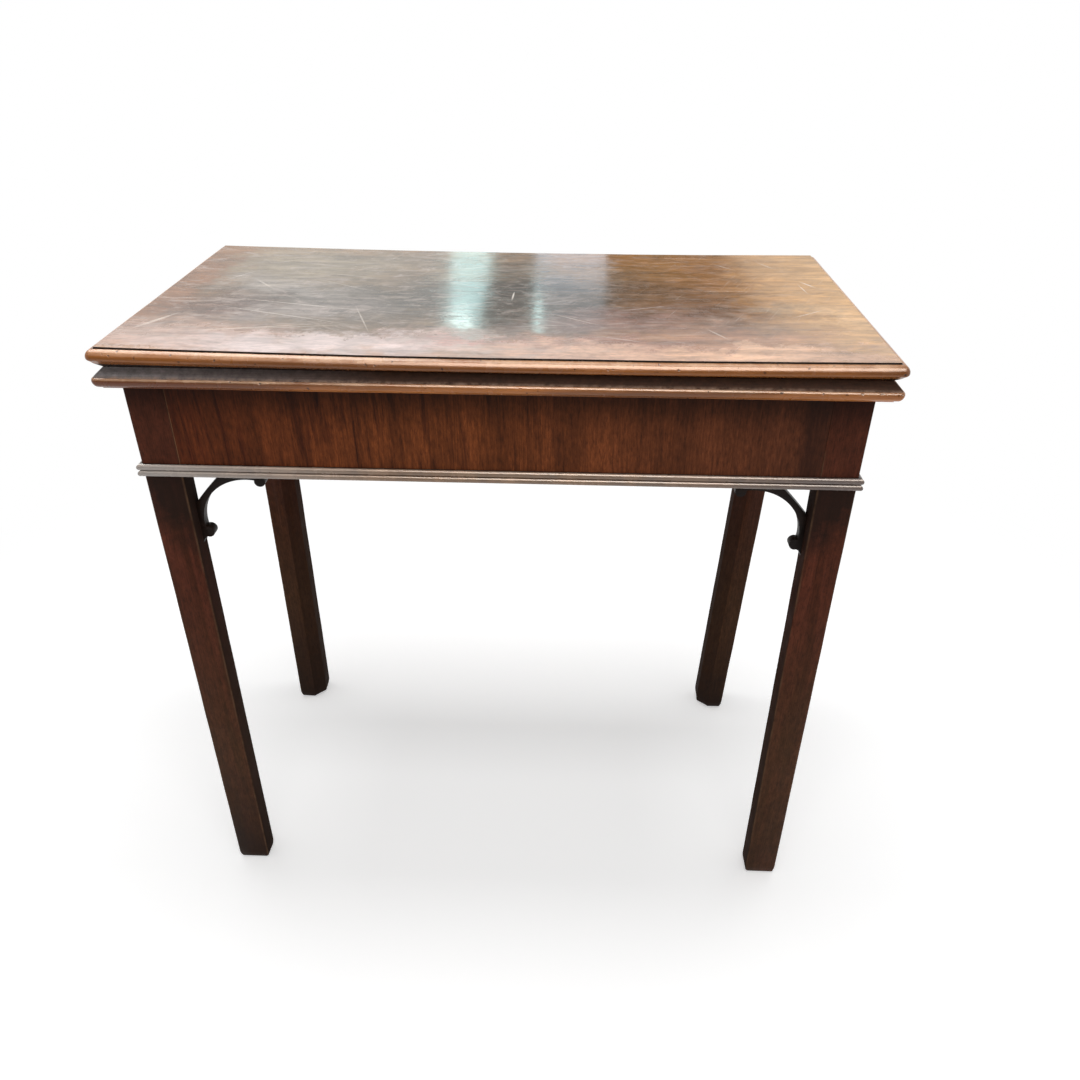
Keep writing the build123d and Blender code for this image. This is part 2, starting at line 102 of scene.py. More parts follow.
class CardTableColours(bpy.types.PropertyGroup):
    faded: colour_property("Faded top", "Sun-faded polished mahogany of the top", "#a97a49")
    stained: colour_property("Stained pores", "Dark filling of the pores of the top", "#4c4237")
    nose: colour_property("Rubbed moulding", "Wood of the upper thumb moulding", "#a3622b")
    # Also a painted highlight: it lies on the faces that turn upwards
    crest: colour_property("Bare crest", "Where hands have rubbed the moulding pale", "#c99d76")
    # Partly a painted glare on the slope's left end
    dust_and_glare: colour_property("Dust", "Grey dust on the slope between the leaves", "#858080")
    inside: colour_property("Unfaded mahogany", "Margin of the playing faces", "#7c3f20")
    veneer: colour_property("Veneer", "Bright ribbons of the frieze", "#7c4120")
    ribbon: colour_property("Dark ribbon", "Dark ribbons and pores of the frieze", "#35150a")
    leg: colour_property("Leg", "Stained mahogany of the front legs", "#623121")
    # Also painted shade: under the rail, on the legs' inner faces and in the groove of the beads
    leg_dark: colour_property("Leg shadow", "Grime and dark grain on the legs", "#22130c")
    # Also a painted highlight along the lit corners of the legs
    arris: colour_property("Worn arris", "Corners of the legs where the stain has worn", "#72553f")
    bracket: colour_property("Bracket", "Blackened mahogany of the brackets", "#22140d")
    oak: colour_property("Oak", "Hidden rails", "#9a7850")
    pine: colour_property("Pine", "Glue blocks", "#bd955f")
    baize: colour_property("Baize", "Playing surface", "#2e5a38")
    brass: colour_property("Brass", "Hinges and their screws", "#b8954f")
    iron: colour_property("Iron", "Fixing screws and knuckle pin", "#56504a")


class CardTableSizes(bpy.types.PropertyGroup):
    fibre: length_property("Fibre", "Width of a streak of wood fibre", 0.9 * MM)
    pore: length_property("Pore", "Width of a pore in the mahogany, drawn coarser than life", 0.7 * MM)
    hollow: length_property("Hollow", "How far the top has sunk in its middle", 4.2 * MM)
    corner: length_property("Corner", "Rounding of the top's worn corners", 6 * MM)
    arris: length_property("Arris", "Rounding of the worn corners of the legs", 2.2 * MM)
    foot_wear: length_property("Foot wear", "Wood lost from the rim of a foot", 2.2 * MM)
    camera_height: length_property("Camera height", "Camera above the floor", 1.0212)


# Node building

OBJECT_POINT, NORMAL = 3, 1     # outputs of Texture Coordinate


def add(tree, kind, inputs, out=0, **settings):
    """Add a node with its settings and links, and give one of its outputs."""
    node = tree.nodes.new(kind)
    for name, value in settings.items():
        setattr(node, name, value)
    for name, value in inputs.items():
        if isinstance(value, bpy.types.NodeSocket):
            tree.links.new(value, node.inputs[name])
        else:
            node.inputs[name].default_value = value
    return node.outputs[out] if node.outputs else None


def new_material(name):
    material = bpy.data.materials.new(name)
    material.use_nodes = True
    material.node_tree.nodes.clear()
    return material, material.node_tree


def surface(tree, base, rough, relief, depth, others):
    """Principled surface with a bump of the given depth."""
    bump = add(tree, "ShaderNodeBump", {"Height": relief, "Distance": depth})
    shader = add(tree, "ShaderNodeBsdfPrincipled",
                 {"Base Color": base, "Roughness": rough, "Normal": bump, **others})
    add(tree, "ShaderNodeOutputMaterial", {"Surface": shader})


def one_axis(tree, axis, source=OBJECT_POINT):
    """One axis of the place in the object, or of the direction in which the surface faces."""
    vector = add(tree, "ShaderNodeTexCoord", {}, out=source)
    return add(tree, "ShaderNodeSeparateXYZ", {0: vector}, out="XYZ".index(axis))


def mottling(tree, size, grain="X", stretch=1, place=(0, 0, 0), turn=(0, 0, 0),
             detail=2.0, roughness=0.5, distortion=0.0):
    """Soft patches of a real size. A stretch draws them out along the grain, because the object's
    coordinates are drawn together there."""
    scale = [1.0, 1.0, 1.0]
    scale["XYZ".index(grain)] = stretch
    point = add(tree, "ShaderNodeTexCoord", {}, out=OBJECT_POINT)
    drawn = add(tree, "ShaderNodeMapping",
                {"Vector": point, "Location": place, "Rotation": turn, "Scale": scale},
                vector_type="TEXTURE")
    return add(tree, "ShaderNodeTexNoise",
               {"Vector": drawn, "Scale": 1 / size, "Detail": detail, "Roughness": roughness,
                "Distortion": distortion})


def shaded(tree, base, field, low, high):
    """Colour multiplied by low in the dips of a mottling and by high on its tops."""
    value = add(tree, "ShaderNodeMapRange",
                {"Value": field, "From Min": 0.3, "From Max": 0.7, "To Min": low, "To Max": high})
    return add(tree, "ShaderNodeHueSaturation", {"Value": value, "Color": base})


def laid_over(tree, base, colour, field, start=0.0, end=1.0, strength=1.0, within=None):
    """Colour laid over another, from none where the field is at start to its strength at end,
    and only so far as a second field lets it through."""
    share = add(tree, "ShaderNodeMapRange",
                {"Value": field, "From Min": start, "From Max": end, "To Max": strength})
    if within:
        share = add(tree, "ShaderNodeMath", {0: share, 1: within}, operation="MULTIPLY")
    return add(tree, "ShaderNodeMix", {0: share, 6: base, 7: colour}, out=2, data_type="RGBA")


def figure(tree, grain, place=(0, 0, 0), width=30 * MM, stretch=7):
    """Slow growth figure of one board, from 0 to 1."""
    slow = mottling(tree, width, grain, stretch, place, detail=4.0, roughness=0.55, distortion=0.4)
    return add(tree, "ShaderNodeMapRange", {"Value": slow, "From Min": 0.36, "From Max": 0.64},
               interpolation_type="SMOOTHSTEP")


def fibres(tree, grain, place=(0, 0, 0)):
    """Fine streaks of wood fibre."""
    width = bpy.context.scene.card_table_sizes.fibre
    return mottling(tree, width, grain, 60, place, roughness=0.6)


def pores(tree, grain, place=(0, 0, 0)):
    """Short pores, 1 in their middle and 0 between them."""
    width = bpy.context.scene.card_table_sizes.pore
    spots = mottling(tree, width, grain, 12, place, detail=1.0)
    return add(tree, "ShaderNodeMapRange", {"Value": spots, "From Min": 0.6, "From Max": 0.72})


# Each line is one mark on the top, in millimetres and degrees: centre, half sizes, turn,
# softness of its rim, strength, colour and roughness.

STAINS = [
    (-120, 20, 275, 190, 0, 0.35, 0.9, "#6f5e4a", 0.13),      # browned polish, left of the middle
    (-150, -20, 130, 60, 8, 0.7, 0.7, "#57524a", 0.14),       # its darkest part
    (-255, 120, 110, 75, 0, 0.6, 0.6, "#9d907a", 0.16),       # its bloom towards the back
    (-250, 20, 70, 30, -15, 0.8, 0.5, "#a49d97", 0.22),       # pale swirls
    (-230, -60, 95, 24, 12, 0.8, 0.45, "#a89c96", 0.2),
    (25, -25, 120, 105, 0, 0.45, 0.75, "#443c34", 0.09),      # dark spill in the middle
    (165, 10, 60, 60, 10, 0.7, 0.5, "#6b4c36", 0.12),
    (170, -55, 90, 26, 4, 0.8, 0.7, "#7b5347", 0.18),         # purplish brown
    (150, -85, 120, 18, 3, 0.8, 0.5, "#8d6a60", 0.2),
    (-375, 0, 40, 190, -4, 0.5, 0.9, "#845a3c", 0.2),         # redder wood along the left end
    (-305, -50, 50, 40, 20, 0.7, 0.8, "#5a3d31", 0.16),       # swirl round a knot
    (228, -40, 40, 60, 8, 0.8, 0.8, "#6b4a30", 0.12),
    (300, -36, 48, 13, 0, 0.9, 0.75, "#6d5c4c", 0.18),
    (240, 90, 36, 110, 0, 0.9, 0.5, "#8a5f3c", 0.14),         # browner band towards the back
    (245, -92, 60, 14, 6, 0.9, 0.6, "#7c6455", 0.2),
    (400, 20, 90, 300, 0, 0.9, 0.7, "#cba06e", 0.14),         # paler wood along the right end
    (352, -70, 22, 40, 20, 0.9, 0.7, "#d3a878", 0.16),
    (0, -170, 420, 30, 0, 0.35, 0.85, "#b3917f", 0.34),       # dulled margin along the front, paler in part as a painted reflection
    (-270, -150, 90, 44, -6, 0.6, 0.8, "#ad8e82", 0.32),      # and how far it runs inwards
    (-60, -140, 70, 26, 8, 0.6, 0.7, "#b09086", 0.3),
    (60, -146, 60, 22, -6, 0.6, 0.7, "#a27a68", 0.3),
    (200, -134, 110, 34, 4, 0.6, 0.7, "#9f7866", 0.26),
    # Palest marks of the margin: dulled polish with a painted reflection
    (-170, -156, 130, 24, 2, 0.7, 0.85, "#c8b9b6", 0.3),
    (235, -164, 70, 16, 2, 0.8, 0.8, "#d9ae8e", 0.3),
    (90, -164, 60, 12, -2, 0.8, 0.7, "#d4ad93", 0.3),
    (-30, -140, 36, 10, 6, 0.8, 0.6, "#b0776a", 0.3),
    (130, -130, 50, 12, -8, 0.8, 0.6, "#8d6153", 0.3),
    (-345, -130, 40, 30, 20, 0.8, 0.6, "#b2968a", 0.3),
]

# Scratches on the top: centre, half length, half width, turn and strength

SCRATCHES = [
    (-345, -105, 26, 2.2, 62, 0.7), (-250, -118, 60, 1.4, 14, 0.6), (-215, -40, 60, 1.2, -12, 0.5),
    (-235, 60, 40, 1.2, 6, 0.4), (-275, 30, 22, 1.6, -50, 0.4), (-180, 70, 40, 1.0, -14, 0.4),
    (306, 140, 14, 1.6, -62, 0.45), (340, 60, 12, 1.8, -60, 0.7), (190, 150, 20, 1.0, 10, 0.4),
    (120, -128, 24, 1.2, -20, 0.4), (215, -110, 16, 1.4, -60, 0.5), (40, -92, 30, 1.0, 8, 0.4),
    (-230, -74, 76, 1.0, -18, 0.6), (-142, -82, 38, 0.9, -70, 0.5), (7, 6, 13, 1.0, 88, 0.9),
    (331, 43, 16, 1.0, 96, 0.6), (-60, 62, 40, 0.8, 4, 0.5), (255, 132, 16, 0.9, -50, 0.5),
    (-205, -112, 60, 0.8, 12, 0.5), (-190, 36, 34, 0.7, -30, 0.4), (150, -30, 30, 0.8, 20, 0.4),
    (75, -70, 26, 0.8, -35, 0.5), (318, -45, 22, 1.0, 35, 0.5), (-310, 60, 30, 0.8, 60, 0.4),
]

# Fine scratches in three directions: turn in degrees and width in millimetres

HAIRLINES = ((14, 1.1), (-22, 1.2), (64, 1.3))

STAIN_STRAY = (160 * MM, 140 * MM, 0)   # how far the noise carries the rims of the stains
POLISH_ROUGHNESS = 0.09
SCRATCH_ROUGHNESS = 0.4


def oval(tree, point, x, y, half_x, half_y, turn):
    """How far a point is from the middle of an oval mark, 1 at its rim."""
    local = add(tree, "ShaderNodeMapping",
                {"Vector": point, "Location": (x * MM, y * MM, 0), "Rotation": (0, 0, radians(turn)),
                 "Scale": (half_x * MM, half_y * MM, 1)}, vector_type="TEXTURE")
    return add(tree, "ShaderNodeVectorMath", {0: local}, out=1, operation="LENGTH")


def stained(tree, flat, base, rough):
    """Colour and roughness of the top under its stains, whose rims stray."""
    cloud = add(tree, "ShaderNodeTexNoise",
                {"Vector": flat, "Scale": 1 / (45 * MM), "Detail": 8.0, "Roughness": 0.7}, out=1)
    centred = add(tree, "ShaderNodeVectorMath", {0: cloud, 1: (0.5, 0.5, 0.5)},
                  operation="SUBTRACT")
    strayed = add(tree, "ShaderNodeVectorMath", {0: centred, 1: STAIN_STRAY, 2: flat},
                  operation="MULTIPLY_ADD")
    for *shape, soft, strength, code, dull in STAINS:
        share = add(tree, "ShaderNodeMapRange",
                    {"Value": oval(tree, strayed, *shape), "From Min": 1 + soft,
                     "From Max": 1 - soft, "To Max": strength}, interpolation_type="SMOOTHSTEP")
        base = add(tree, "ShaderNodeMix", {0: share, 6: base, 7: tone(code)},
                   out=2, data_type="RGBA")
        rough = add(tree, "ShaderNodeMix", {0: share, 2: rough, 3: dull})
    return base, rough


def scratch_lines(tree, flat):
    """Lines of the scratches, the drawn ones and then the hairlines."""
    lines = 0.0
    for *shape, strength in SCRATCHES:
        mark = add(tree, "ShaderNodeMapRange", {"Value": oval(tree, flat, *shape), "From Min": 1.3,
                                                "From Max": 0.4, "To Max": strength})
        lines = add(tree, "ShaderNodeMath", {0: lines, 1: mark}, operation="MAXIMUM")
    for turn, width in HAIRLINES:
        thread = mottling(tree, width * MM, "X", 45, turn=(0, 0, radians(turn)), detail=1.0)
        mark = add(tree, "ShaderNodeMapRange",
                   {"Value": thread, "From Min": 0.7, "From Max": 0.8, "To Max": 0.3})
        lines = add(tree, "ShaderNodeMath", {0: lines, 1: mark}, operation="MAXIMUM")
    return lines


def polished_top():
    """French-polished mahogany, faded and stained by use: a clear film that mirrors the room
    over brown wood, dull where it has been rubbed and scratched."""
    colours = bpy.context.scene.card_table_colours
    material, tree = new_material("faded_polished_mahogany")
    point = add(tree, "ShaderNodeTexCoord", {}, out=OBJECT_POINT)
    flat = add(tree, "ShaderNodeVectorMath", {0: point, 1: (1, 1, 0)}, operation="MULTIPLY")
    fibre = fibres(tree, "X")
    wide = mottling(tree, 9 * MM, "X", 30, detail=3.0, roughness=0.6)
    base = laid_over(tree, colours.faded, tone("#946739"), figure(tree, "X"))
    base, rough = stained(tree, flat, base, POLISH_ROUGHNESS)
    # Mottling of the old polish, then the grain: broad bands, fibre streaks and dark pores
    old_polish = mottling(tree, 16 * MM, "X", 2.5, detail=7.0, roughness=0.72, distortion=0.6)
    base = shaded(tree, base, old_polish, 0.6, 1.4)
    base = shaded(tree, base, wide, 0.78, 1.22)
    base = shaded(tree, base, fibre, 0.86, 1.12)
    base = laid_over(tree, base, colours.stained, pores(tree, "X"), strength=0.3)
    # Bloom in the old polish: pale wisps, mostly over the left half
    wisp = mottling(tree, 26 * MM, "X", 2.2, (0.3, 0.1, 0), detail=9.0, roughness=0.72,
                    distortion=2.2)
    leftward = add(tree, "ShaderNodeMapRange",
                   {"Value": one_axis(tree, "X"), "From Min": 260 * MM, "From Max": -100 * MM,
                    "To Min": 0.2, "To Max": 0.75})
    base = laid_over(tree, base, tone("#b9a9a0"), wisp, 0.5, 0.72, leftward)
    lines = scratch_lines(tree, flat)
    base = laid_over(tree, base, tone("#e0d4c8"), lines, strength=0.7)
    rough = add(tree, "ShaderNodeMix", {0: lines, 2: rough, 3: SCRATCH_ROUGHNESS})
    # Handling marks: slow patches and streaks where the film is duller
    smear = add(tree, "ShaderNodeTexNoise",
                {"Vector": flat, "Scale": 1 / (22 * MM), "Detail": 5.0, "Roughness": 0.7})
    streak = mottling(tree, 3.5 * MM, "X", 40)
    for field, start, dull in ((smear, 0.48, 0.1), (streak, 0.55, 0.12)):
        matt = add(tree, "ShaderNodeMapRange",
                   {"Value": field, "From Min": start, "From Max": 0.72, "To Max": dull})
        rough = add(tree, "ShaderNodeMath", {0: rough, 1: matt}, operation="ADD", use_clamp=True)
    relief = wide
    for field, part in ((fibre, 0.03), (streak, 0.3), (lines, -0.5)):
        relief = add(tree, "ShaderNodeMath", {0: field, 1: part, 2: relief},
                     operation="MULTIPLY_ADD")
    surface(tree, base, rough, relief, 0.05 * MM, {"IOR": 1.5})
    return material


def edge_reach(tree):
    """Distance from the front or the nearer end of the top, inwards."""
    across = add(tree, "ShaderNodeMath", {0: one_axis(tree, "X")}, operation="ABSOLUTE")
    from_end = add(tree, "ShaderNodeMath", {0: SIDE_X, 1: across}, operation="SUBTRACT")
    from_front = add(tree, "ShaderNodeMath", {0: one_axis(tree, "Y"), 1: FRONT_Y},
                     operation="SUBTRACT")
    return add(tree, "ShaderNodeMath", {0: from_end, 1: from_front}, operation="MINIMUM")


def rubbed_moulding(name, wood, upward):
    """Thumb moulding in solid mahogany, polished by hands: pale on its crest with wear and a painted
    highlight, and nicked, with a dark line painted in the quirk of the upper one for its grime and
    shade, and painted shade underneath the lower one towards the left end."""
    colours = bpy.context.scene.card_table_colours
    material, tree = new_material(name)
    fibre = fibres(tree, "X")
    facing = one_axis(tree, "Z", NORMAL)
    base = laid_over(tree, wood, tone("#85502a"), figure(tree, "X", width=40 * MM))
    base = shaded(tree, base, fibre, 0.82, 1.16)
    patchy = mottling(tree, 35 * MM, detail=4.0, roughness=0.65)
    patches = add(tree, "ShaderNodeMapRange", {"Value": patchy, "From Min": 0.3, "From Max": 0.62})
    # Pale where the faces turn upwards: wear on the crest and a painted highlight
    start, end = (0.35, 0.8) if upward else (0.05, 0.6)
    base = laid_over(tree, base, colours.crest, facing, start, end, 0.8, patches)
    if upward:
        # Dark line in the quirk: grime, and painted shade in the step
        base = laid_over(tree, base, tone("#22120a"), edge_reach(tree), QUIRK - 2.2 * MM,
                         QUIRK - 0.6 * MM)
    else:
        # Redder wood and painted shade on the faces turned down, towards the left end
        below = add(tree, "ShaderNodeMapRange", {"Value": facing, "From Min": 0.5, "From Max": 0.1})
        base = laid_over(tree, base, tone("#6d3418"), one_axis(tree, "X"), -150 * MM, -300 * MM,
                         0.75, below)
    nicks = mottling(tree, 5 * MM, detail=1.0)
    nick = add(tree, "ShaderNodeMapRange", {"Value": nicks, "From Min": 0.7, "From Max": 0.76})
    base = laid_over(tree, base, tone("#2a150b"), nick, strength=0.8)
    rough = add(tree, "ShaderNodeMapRange",
                {"Value": patchy, "From Min": 0.35, "From Max": 0.7, "To Min": 0.2, "To Max": 0.34})
    relief = add(tree, "ShaderNodeMath", {0: nick, 1: -12.0, 2: fibre}, operation="MULTIPLY_ADD")
    surface(tree, base, rough, relief, 0.02 * MM, {"Specular IOR Level": 0.4})
    return material


def dusty_shaded_slope():
    """Mahogany of the slope under the upper nose: dull with wax, dark with painted shade from the nose
    above, and grey and dusty towards the left end, partly a painted glare."""
    material, tree = new_material("dusty_shaded_mahogany_slope")
    dust_and_glare = bpy.context.scene.card_table_colours.dust_and_glare
    # Dark wood painted for the shade under the upper nose, grey and dusty towards the left end with a
    # painted glare
    base = laid_over(tree, tone("#4c3225"), dust_and_glare, one_axis(tree, "X"), -100 * MM, -SIDE_X)
    clots = mottling(tree, 9 * MM, detail=6.0, roughness=0.75)
    base = shaded(tree, base, clots, 0.6, 1.4)
    base = shaded(tree, base, fibres(tree, "X"), 0.85, 1.15)
    # Paler just above the nose: a painted highlight along the slope's edge
    patchy = add(tree, "ShaderNodeMapRange", {"Value": clots, "From Min": 0.38, "From Max": 0.6})
    base = laid_over(tree, base, tone("#a88a76"), edge_reach(tree), 4.4 * MM, 2.4 * MM, 0.8, patchy)
    rough = add(tree, "ShaderNodeMapRange", {"Value": clots, "To Min": 0.6, "To Max": 0.95})
    surface(tree, base, rough, clots, 0.05 * MM, {"Specular IOR Level": 0.06})
    return material


def plain_wood(name, light, dark, grain, roughness, specular, place=(0, 0, 0), width=30 * MM,
               depth=0.03 * MM):
    """One board of a plain wood: slow figure, fibre streaks and short dark pores."""
    material, tree = new_material(name)
    fibre = fibres(tree, grain, place)
    pore = pores(tree, grain, place)
    base = laid_over(tree, light, dark, figure(tree, grain, place, width))
    base = shaded(tree, base, fibre, 0.8, 1.16)
    base = laid_over(tree, base, dark, pore, strength=0.6)
    rough = add(tree, "ShaderNodeMapRange",
                {"Value": fibre, "To Min": roughness - 0.08, "To Max": roughness + 0.1})
    relief = add(tree, "ShaderNodeMath", {0: pore, 1: -2.0, 2: fibre}, operation="MULTIPLY_ADD")
    surface(tree, base, rough, relief, depth, {"Specular IOR Level": specular})
    return material


def painted_shade_under_top(tree, base):
    """Painted shade under the overhanging top: the frame darkens towards the top's underside."""
    dim = add(tree, "ShaderNodeMapRange",
              {"Value": one_axis(tree, "Z"), "From Min": RAIL_TOP - 42 * MM,
               "From Max": RAIL_TOP - 4 * MM, "To Min": 1.0, "To Max": 0.34},
              interpolation_type="SMOOTHSTEP")
    return add(tree, "ShaderNodeHueSaturation", {"Value": dim, "Color": base})


# Changes of the frieze's colour along its length: where each starts and where it is full, its
# strength and its colour

FRIEZE_SIDES = (
    (-100 * MM, -300 * MM, 0.6, "#57230f"),     # redder at the left end
    (0.0, 280 * MM, 0.75, "#5f3523"),           # cooler towards the right
)
FRIEZE_MARKS = (
    (-LEG_INSIDE + 1.2 * MM, -LEG_INSIDE + 0.4 * MM, 0.7, "#8a6448"),   # open joint at the left leg
    (LEG_INSIDE - 31 * MM, LEG_INSIDE - 18 * MM, 0.6, "#2c1610"),       # darker band by the right leg
)


def figured_veneer(name, place):
    """Mahogany veneer laid upright and waxed: narrow dark ribbons that fade to the right, fine upright
    fleck with streaks of painted sheen, and painted shade under the top."""
    colours = bpy.context.scene.card_table_colours
    material, tree = new_material(name)
    lean = (0, radians(-3), 0)
    fibre = fibres(tree, "Z", place)
    ribbons = mottling(tree, 7.5 * MM, "Z", 14, place, lean, 3.0, 0.6, 0.5)
    x = one_axis(tree, "X")
    fade = add(tree, "ShaderNodeMapRange",
               {"Value": x, "From Min": -80 * MM, "From Max": 120 * MM, "To Min": 0.9,
                "To Max": 0.3})
    base = laid_over(tree, colours.veneer, colours.ribbon, ribbons, 0.5, 0.68, 1.0, fade)
    for start, end, strength, code in FRIEZE_SIDES:
        base = laid_over(tree, base, tone(code), x, start, end, strength)
    broad = mottling(tree, 34 * MM, "Z", 10, place, detail=1.0)
    base = shaded(tree, base, broad, 0.62, 1.25)
    # Fine upright streaks made lighter and darker: a painted sheen of the figure
    painted_sheen = mottling(tree, 3 * MM, "Z", 4, place, lean, 5.0, 0.75)
    base = shaded(tree, base, painted_sheen, 0.55, 1.5)
    base = shaded(tree, base, fibre, 0.75, 1.25)
    for start, end, strength, code in FRIEZE_MARKS:
        base = laid_over(tree, base, tone(code), x, start, end, strength)
    base = laid_over(tree, base, colours.ribbon, pores(tree, "Z", place), strength=0.6)
    # Painted shade under the overhanging top
    base = painted_shade_under_top(tree, base)
    rough = add(tree, "ShaderNodeMapRange", {"Value": ribbons, "To Min": 0.3, "To Max": 0.5})
    surface(tree, base, rough, fibre, 0.01 * MM, {"Specular IOR Level": 0.08})
    return material


def leg_mahogany(name, place, light, side, soiled):
    """Solid mahogany leg, stained and waxed: straight upright grain, grime at the foot, painted shade
    under the rail, under the top and on the faces turned to the middle of the table, and paler corners
    where the stain has worn, partly a painted highlight."""
    colours = bpy.context.scene.card_table_colours
    material, tree = new_material(name)
    fibre = fibres(tree, "Z", place)
    height = one_axis(tree, "Z")
    base = laid_over(tree, light, tone("#4a2414"), figure(tree, "Z", place, 14 * MM, 14))
    # Browner lower down, and redder where the leg is part of the frame
    base = laid_over(tree, base, tone("#49331f"), height, 460 * MM, 220 * MM, 0.65)
    base = laid_over(tree, base, tone("#572c1d"), height, RAIL_BOTTOM, RAIL_BOTTOM + MM, 0.75)
    base = shaded(tree, base, fibre, 0.78, 1.2)
    blotches = mottling(tree, 5 * MM, "Z", 2.5, place, detail=5.0, roughness=0.8)
    base = shaded(tree, base, blotches, 0.65, 1.4)
    base = laid_over(tree, base, colours.leg_dark, pores(tree, "Z", place), strength=0.5)
    # Grime at the foot, and painted shade under the rail; the rim of both slants, lower on the inner
    # side
    smudge = mottling(tree, 45 * MM, detail=5.0, roughness=0.7)
    stray, slant = 160 * MM, 0.8
    wander = add(tree, "ShaderNodeMath", {0: smudge, 1: stray, 2: height}, operation="MULTIPLY_ADD")
    wander = add(tree, "ShaderNodeMath", {0: one_axis(tree, "X"), 1: -slant * side, 2: wander},
                 operation="MULTIPLY_ADD")
    wander = add(tree, "ShaderNodeMath", {0: wander, 1: slant * (FRAME_SIDE - LEG_SIZE / 2)},
                 operation="ADD")
    under = add(tree, "ShaderNodeMath", {0: height, 1: RAIL_BOTTOM + 2 * MM},
                operation="LESS_THAN")
    for low, high, strength in ((260 * MM, 100 * MM, soiled), (580 * MM, 640 * MM, 0.9)):
        base = laid_over(tree, base, colours.leg_dark, wander, low, high, strength, under)
    # Painted shade: the faces turned to the middle of the table are darkened, and made rougher
    inner = add(tree, "ShaderNodeMapRange",
                {"Value": one_axis(tree, "X", NORMAL), "From Min": -0.5 * side,
                 "From Max": -0.9 * side, "To Max": 0.8})
    base = laid_over(tree, base, colours.leg_dark, inner)
    # Paler long corners: worn stain, partly a painted highlight
    wear = add(tree, "ShaderNodeAttribute", {}, out=2, attribute_name="wear")
    patchy = add(tree, "ShaderNodeMapRange", {"Value": smudge, "From Min": 0.38, "From Max": 0.6})
    base = laid_over(tree, base, colours.arris, wear, strength=0.6, within=patchy)
    # Painted shade under the overhanging top
    base = painted_shade_under_top(tree, base)
    rough = add(tree, "ShaderNodeMapRange",
                {"Value": smudge, "From Min": 0.3, "From Max": 0.7, "To Min": 0.34, "To Max": 0.6})
    rough = add(tree, "ShaderNodeMath", {0: inner, 1: 0.5, 2: rough}, operation="MULTIPLY_ADD")
    surface(tree, base, rough, fibre, 0.02 * MM, {"Specular IOR Level": 0.07})
    return material


def bead_mahogany():
    """Small mahogany beads, rubbed bright on their crests, dark with painted shade in the groove
    between them, paler grey towards the left end with a painted reflection, and darker grey towards
    the right end."""
    grime = bpy.context.scene.card_table_colours.leg_dark
    material, tree = new_material("rubbed_bead_mahogany")
    patch = mottling(tree, 28 * MM, detail=4.0, roughness=0.65)
    base = laid_over(tree, tone("#86705f"), tone("#a8866a"), patch, 0.35, 0.65)
    x = one_axis(tree, "X")
    # Paler grey towards the left end: a painted reflection of the pale room
    base = laid_over(tree, base, tone("#c0b8b2"), x, -100 * MM, -340 * MM, 0.8)
    base = laid_over(tree, base, tone("#6f6564"), x, 80 * MM, 340 * MM, 0.8)
    # Painted shade: the legs' dark colour laid in the groove and at the roots of the beads
    groove = add(tree, "ShaderNodeAttribute", {}, out=2, attribute_name="groove")
    base = laid_over(tree, base, grime, groove)
    rough = add(tree, "ShaderNodeMapRange", {"Value": patch, "To Min": 0.12, "To Max": 0.4})
    surface(tree, base, rough, patch, 0.05 * MM, {"IOR": 1.5})
    return material


def baize_cloth():
    """Felted wool: a soft nap with faint wear where cards were dealt, and a little sheen."""
    material, tree = new_material("felted_wool_baize")
    nap = mottling(tree, 0.8 * MM, detail=3.0, roughness=0.7)
    patch = mottling(tree, 90 * MM, detail=5.0, roughness=0.6)
    base = laid_over(tree, bpy.context.scene.card_table_colours.baize, tone("#4b6c47"), patch,
                     0.35, 0.7)
    base = shaded(tree, base, nap, 0.75, 1.25)
    rough = add(tree, "ShaderNodeMapRange", {"Value": nap, "To Min": 0.85, "To Max": 1.0})
    surface(tree, base, rough, nap, 0.25 * MM,
            {"Specular IOR Level": 0.15, "Sheen Weight": 0.3, "Sheen Roughness": 0.5})
    return material


def old_metal(name, bright, tarnish, roughness):
    """Cast and filed metal, tarnished in patches and brighter where it has been handled."""
    material, tree = new_material(name)
    patch = mottling(tree, 6 * MM, detail=5.0, roughness=0.7)
    base = laid_over(tree, bright, tarnish, patch, 0.38, 0.62)
    rough = add(tree, "ShaderNodeMapRange",
                {"Value": patch, "From Min": 0.38, "From Max": 0.62, "To Min": roughness,
                 "To Max": roughness + 0.25})
    file_marks = mottling(tree, 0.4 * MM, "Y", 20)
    surface(tree, base, rough, file_marks, 0.02 * MM, {"Metallic": 1.0})
    return material


# Mesh building

def merged_copy(node):
    """Copy of a CAD node's mesh with its doubles merged and its flat faces made whole."""
    shape = bmesh.new()
    shape.from_mesh(NODES[node].data)
    bmesh.ops.remove_doubles(shape, verts=shape.verts, dist=1e-6)
    bmesh.ops.dissolve_limit(shape, angle_limit=radians(0.5), verts=shape.verts, edges=shape.edges)
    return shape


def cut(shape, axis, places):
    """Divide every face where it crosses a plane square to the axis."""
    direction = Vector([float(k == "XYZ".index(axis)) for k in range(3)])
    for place in places:
        bmesh.ops.bisect_plane(shape, geom=shape.verts[:] + shape.edges[:] + shape.faces[:],
                               dist=1e-6, plane_co=direction * place, plane_no=direction)


def steps(low, high, pitch):
    count = max(1, round((high - low) / pitch))
    return [low + (high - low) * k / count for k in range(count + 1)]


def clamped(share):
    return min(1, max(0, share))


def round_corner(x, y):
    """Moves a point of a square corner onto a round one; x and y start where the rounding does."""
    if x <= 0 or y <= 0:
        return x, y
    share = max(x, y) / hypot(x, y)
    return x * share, y * share


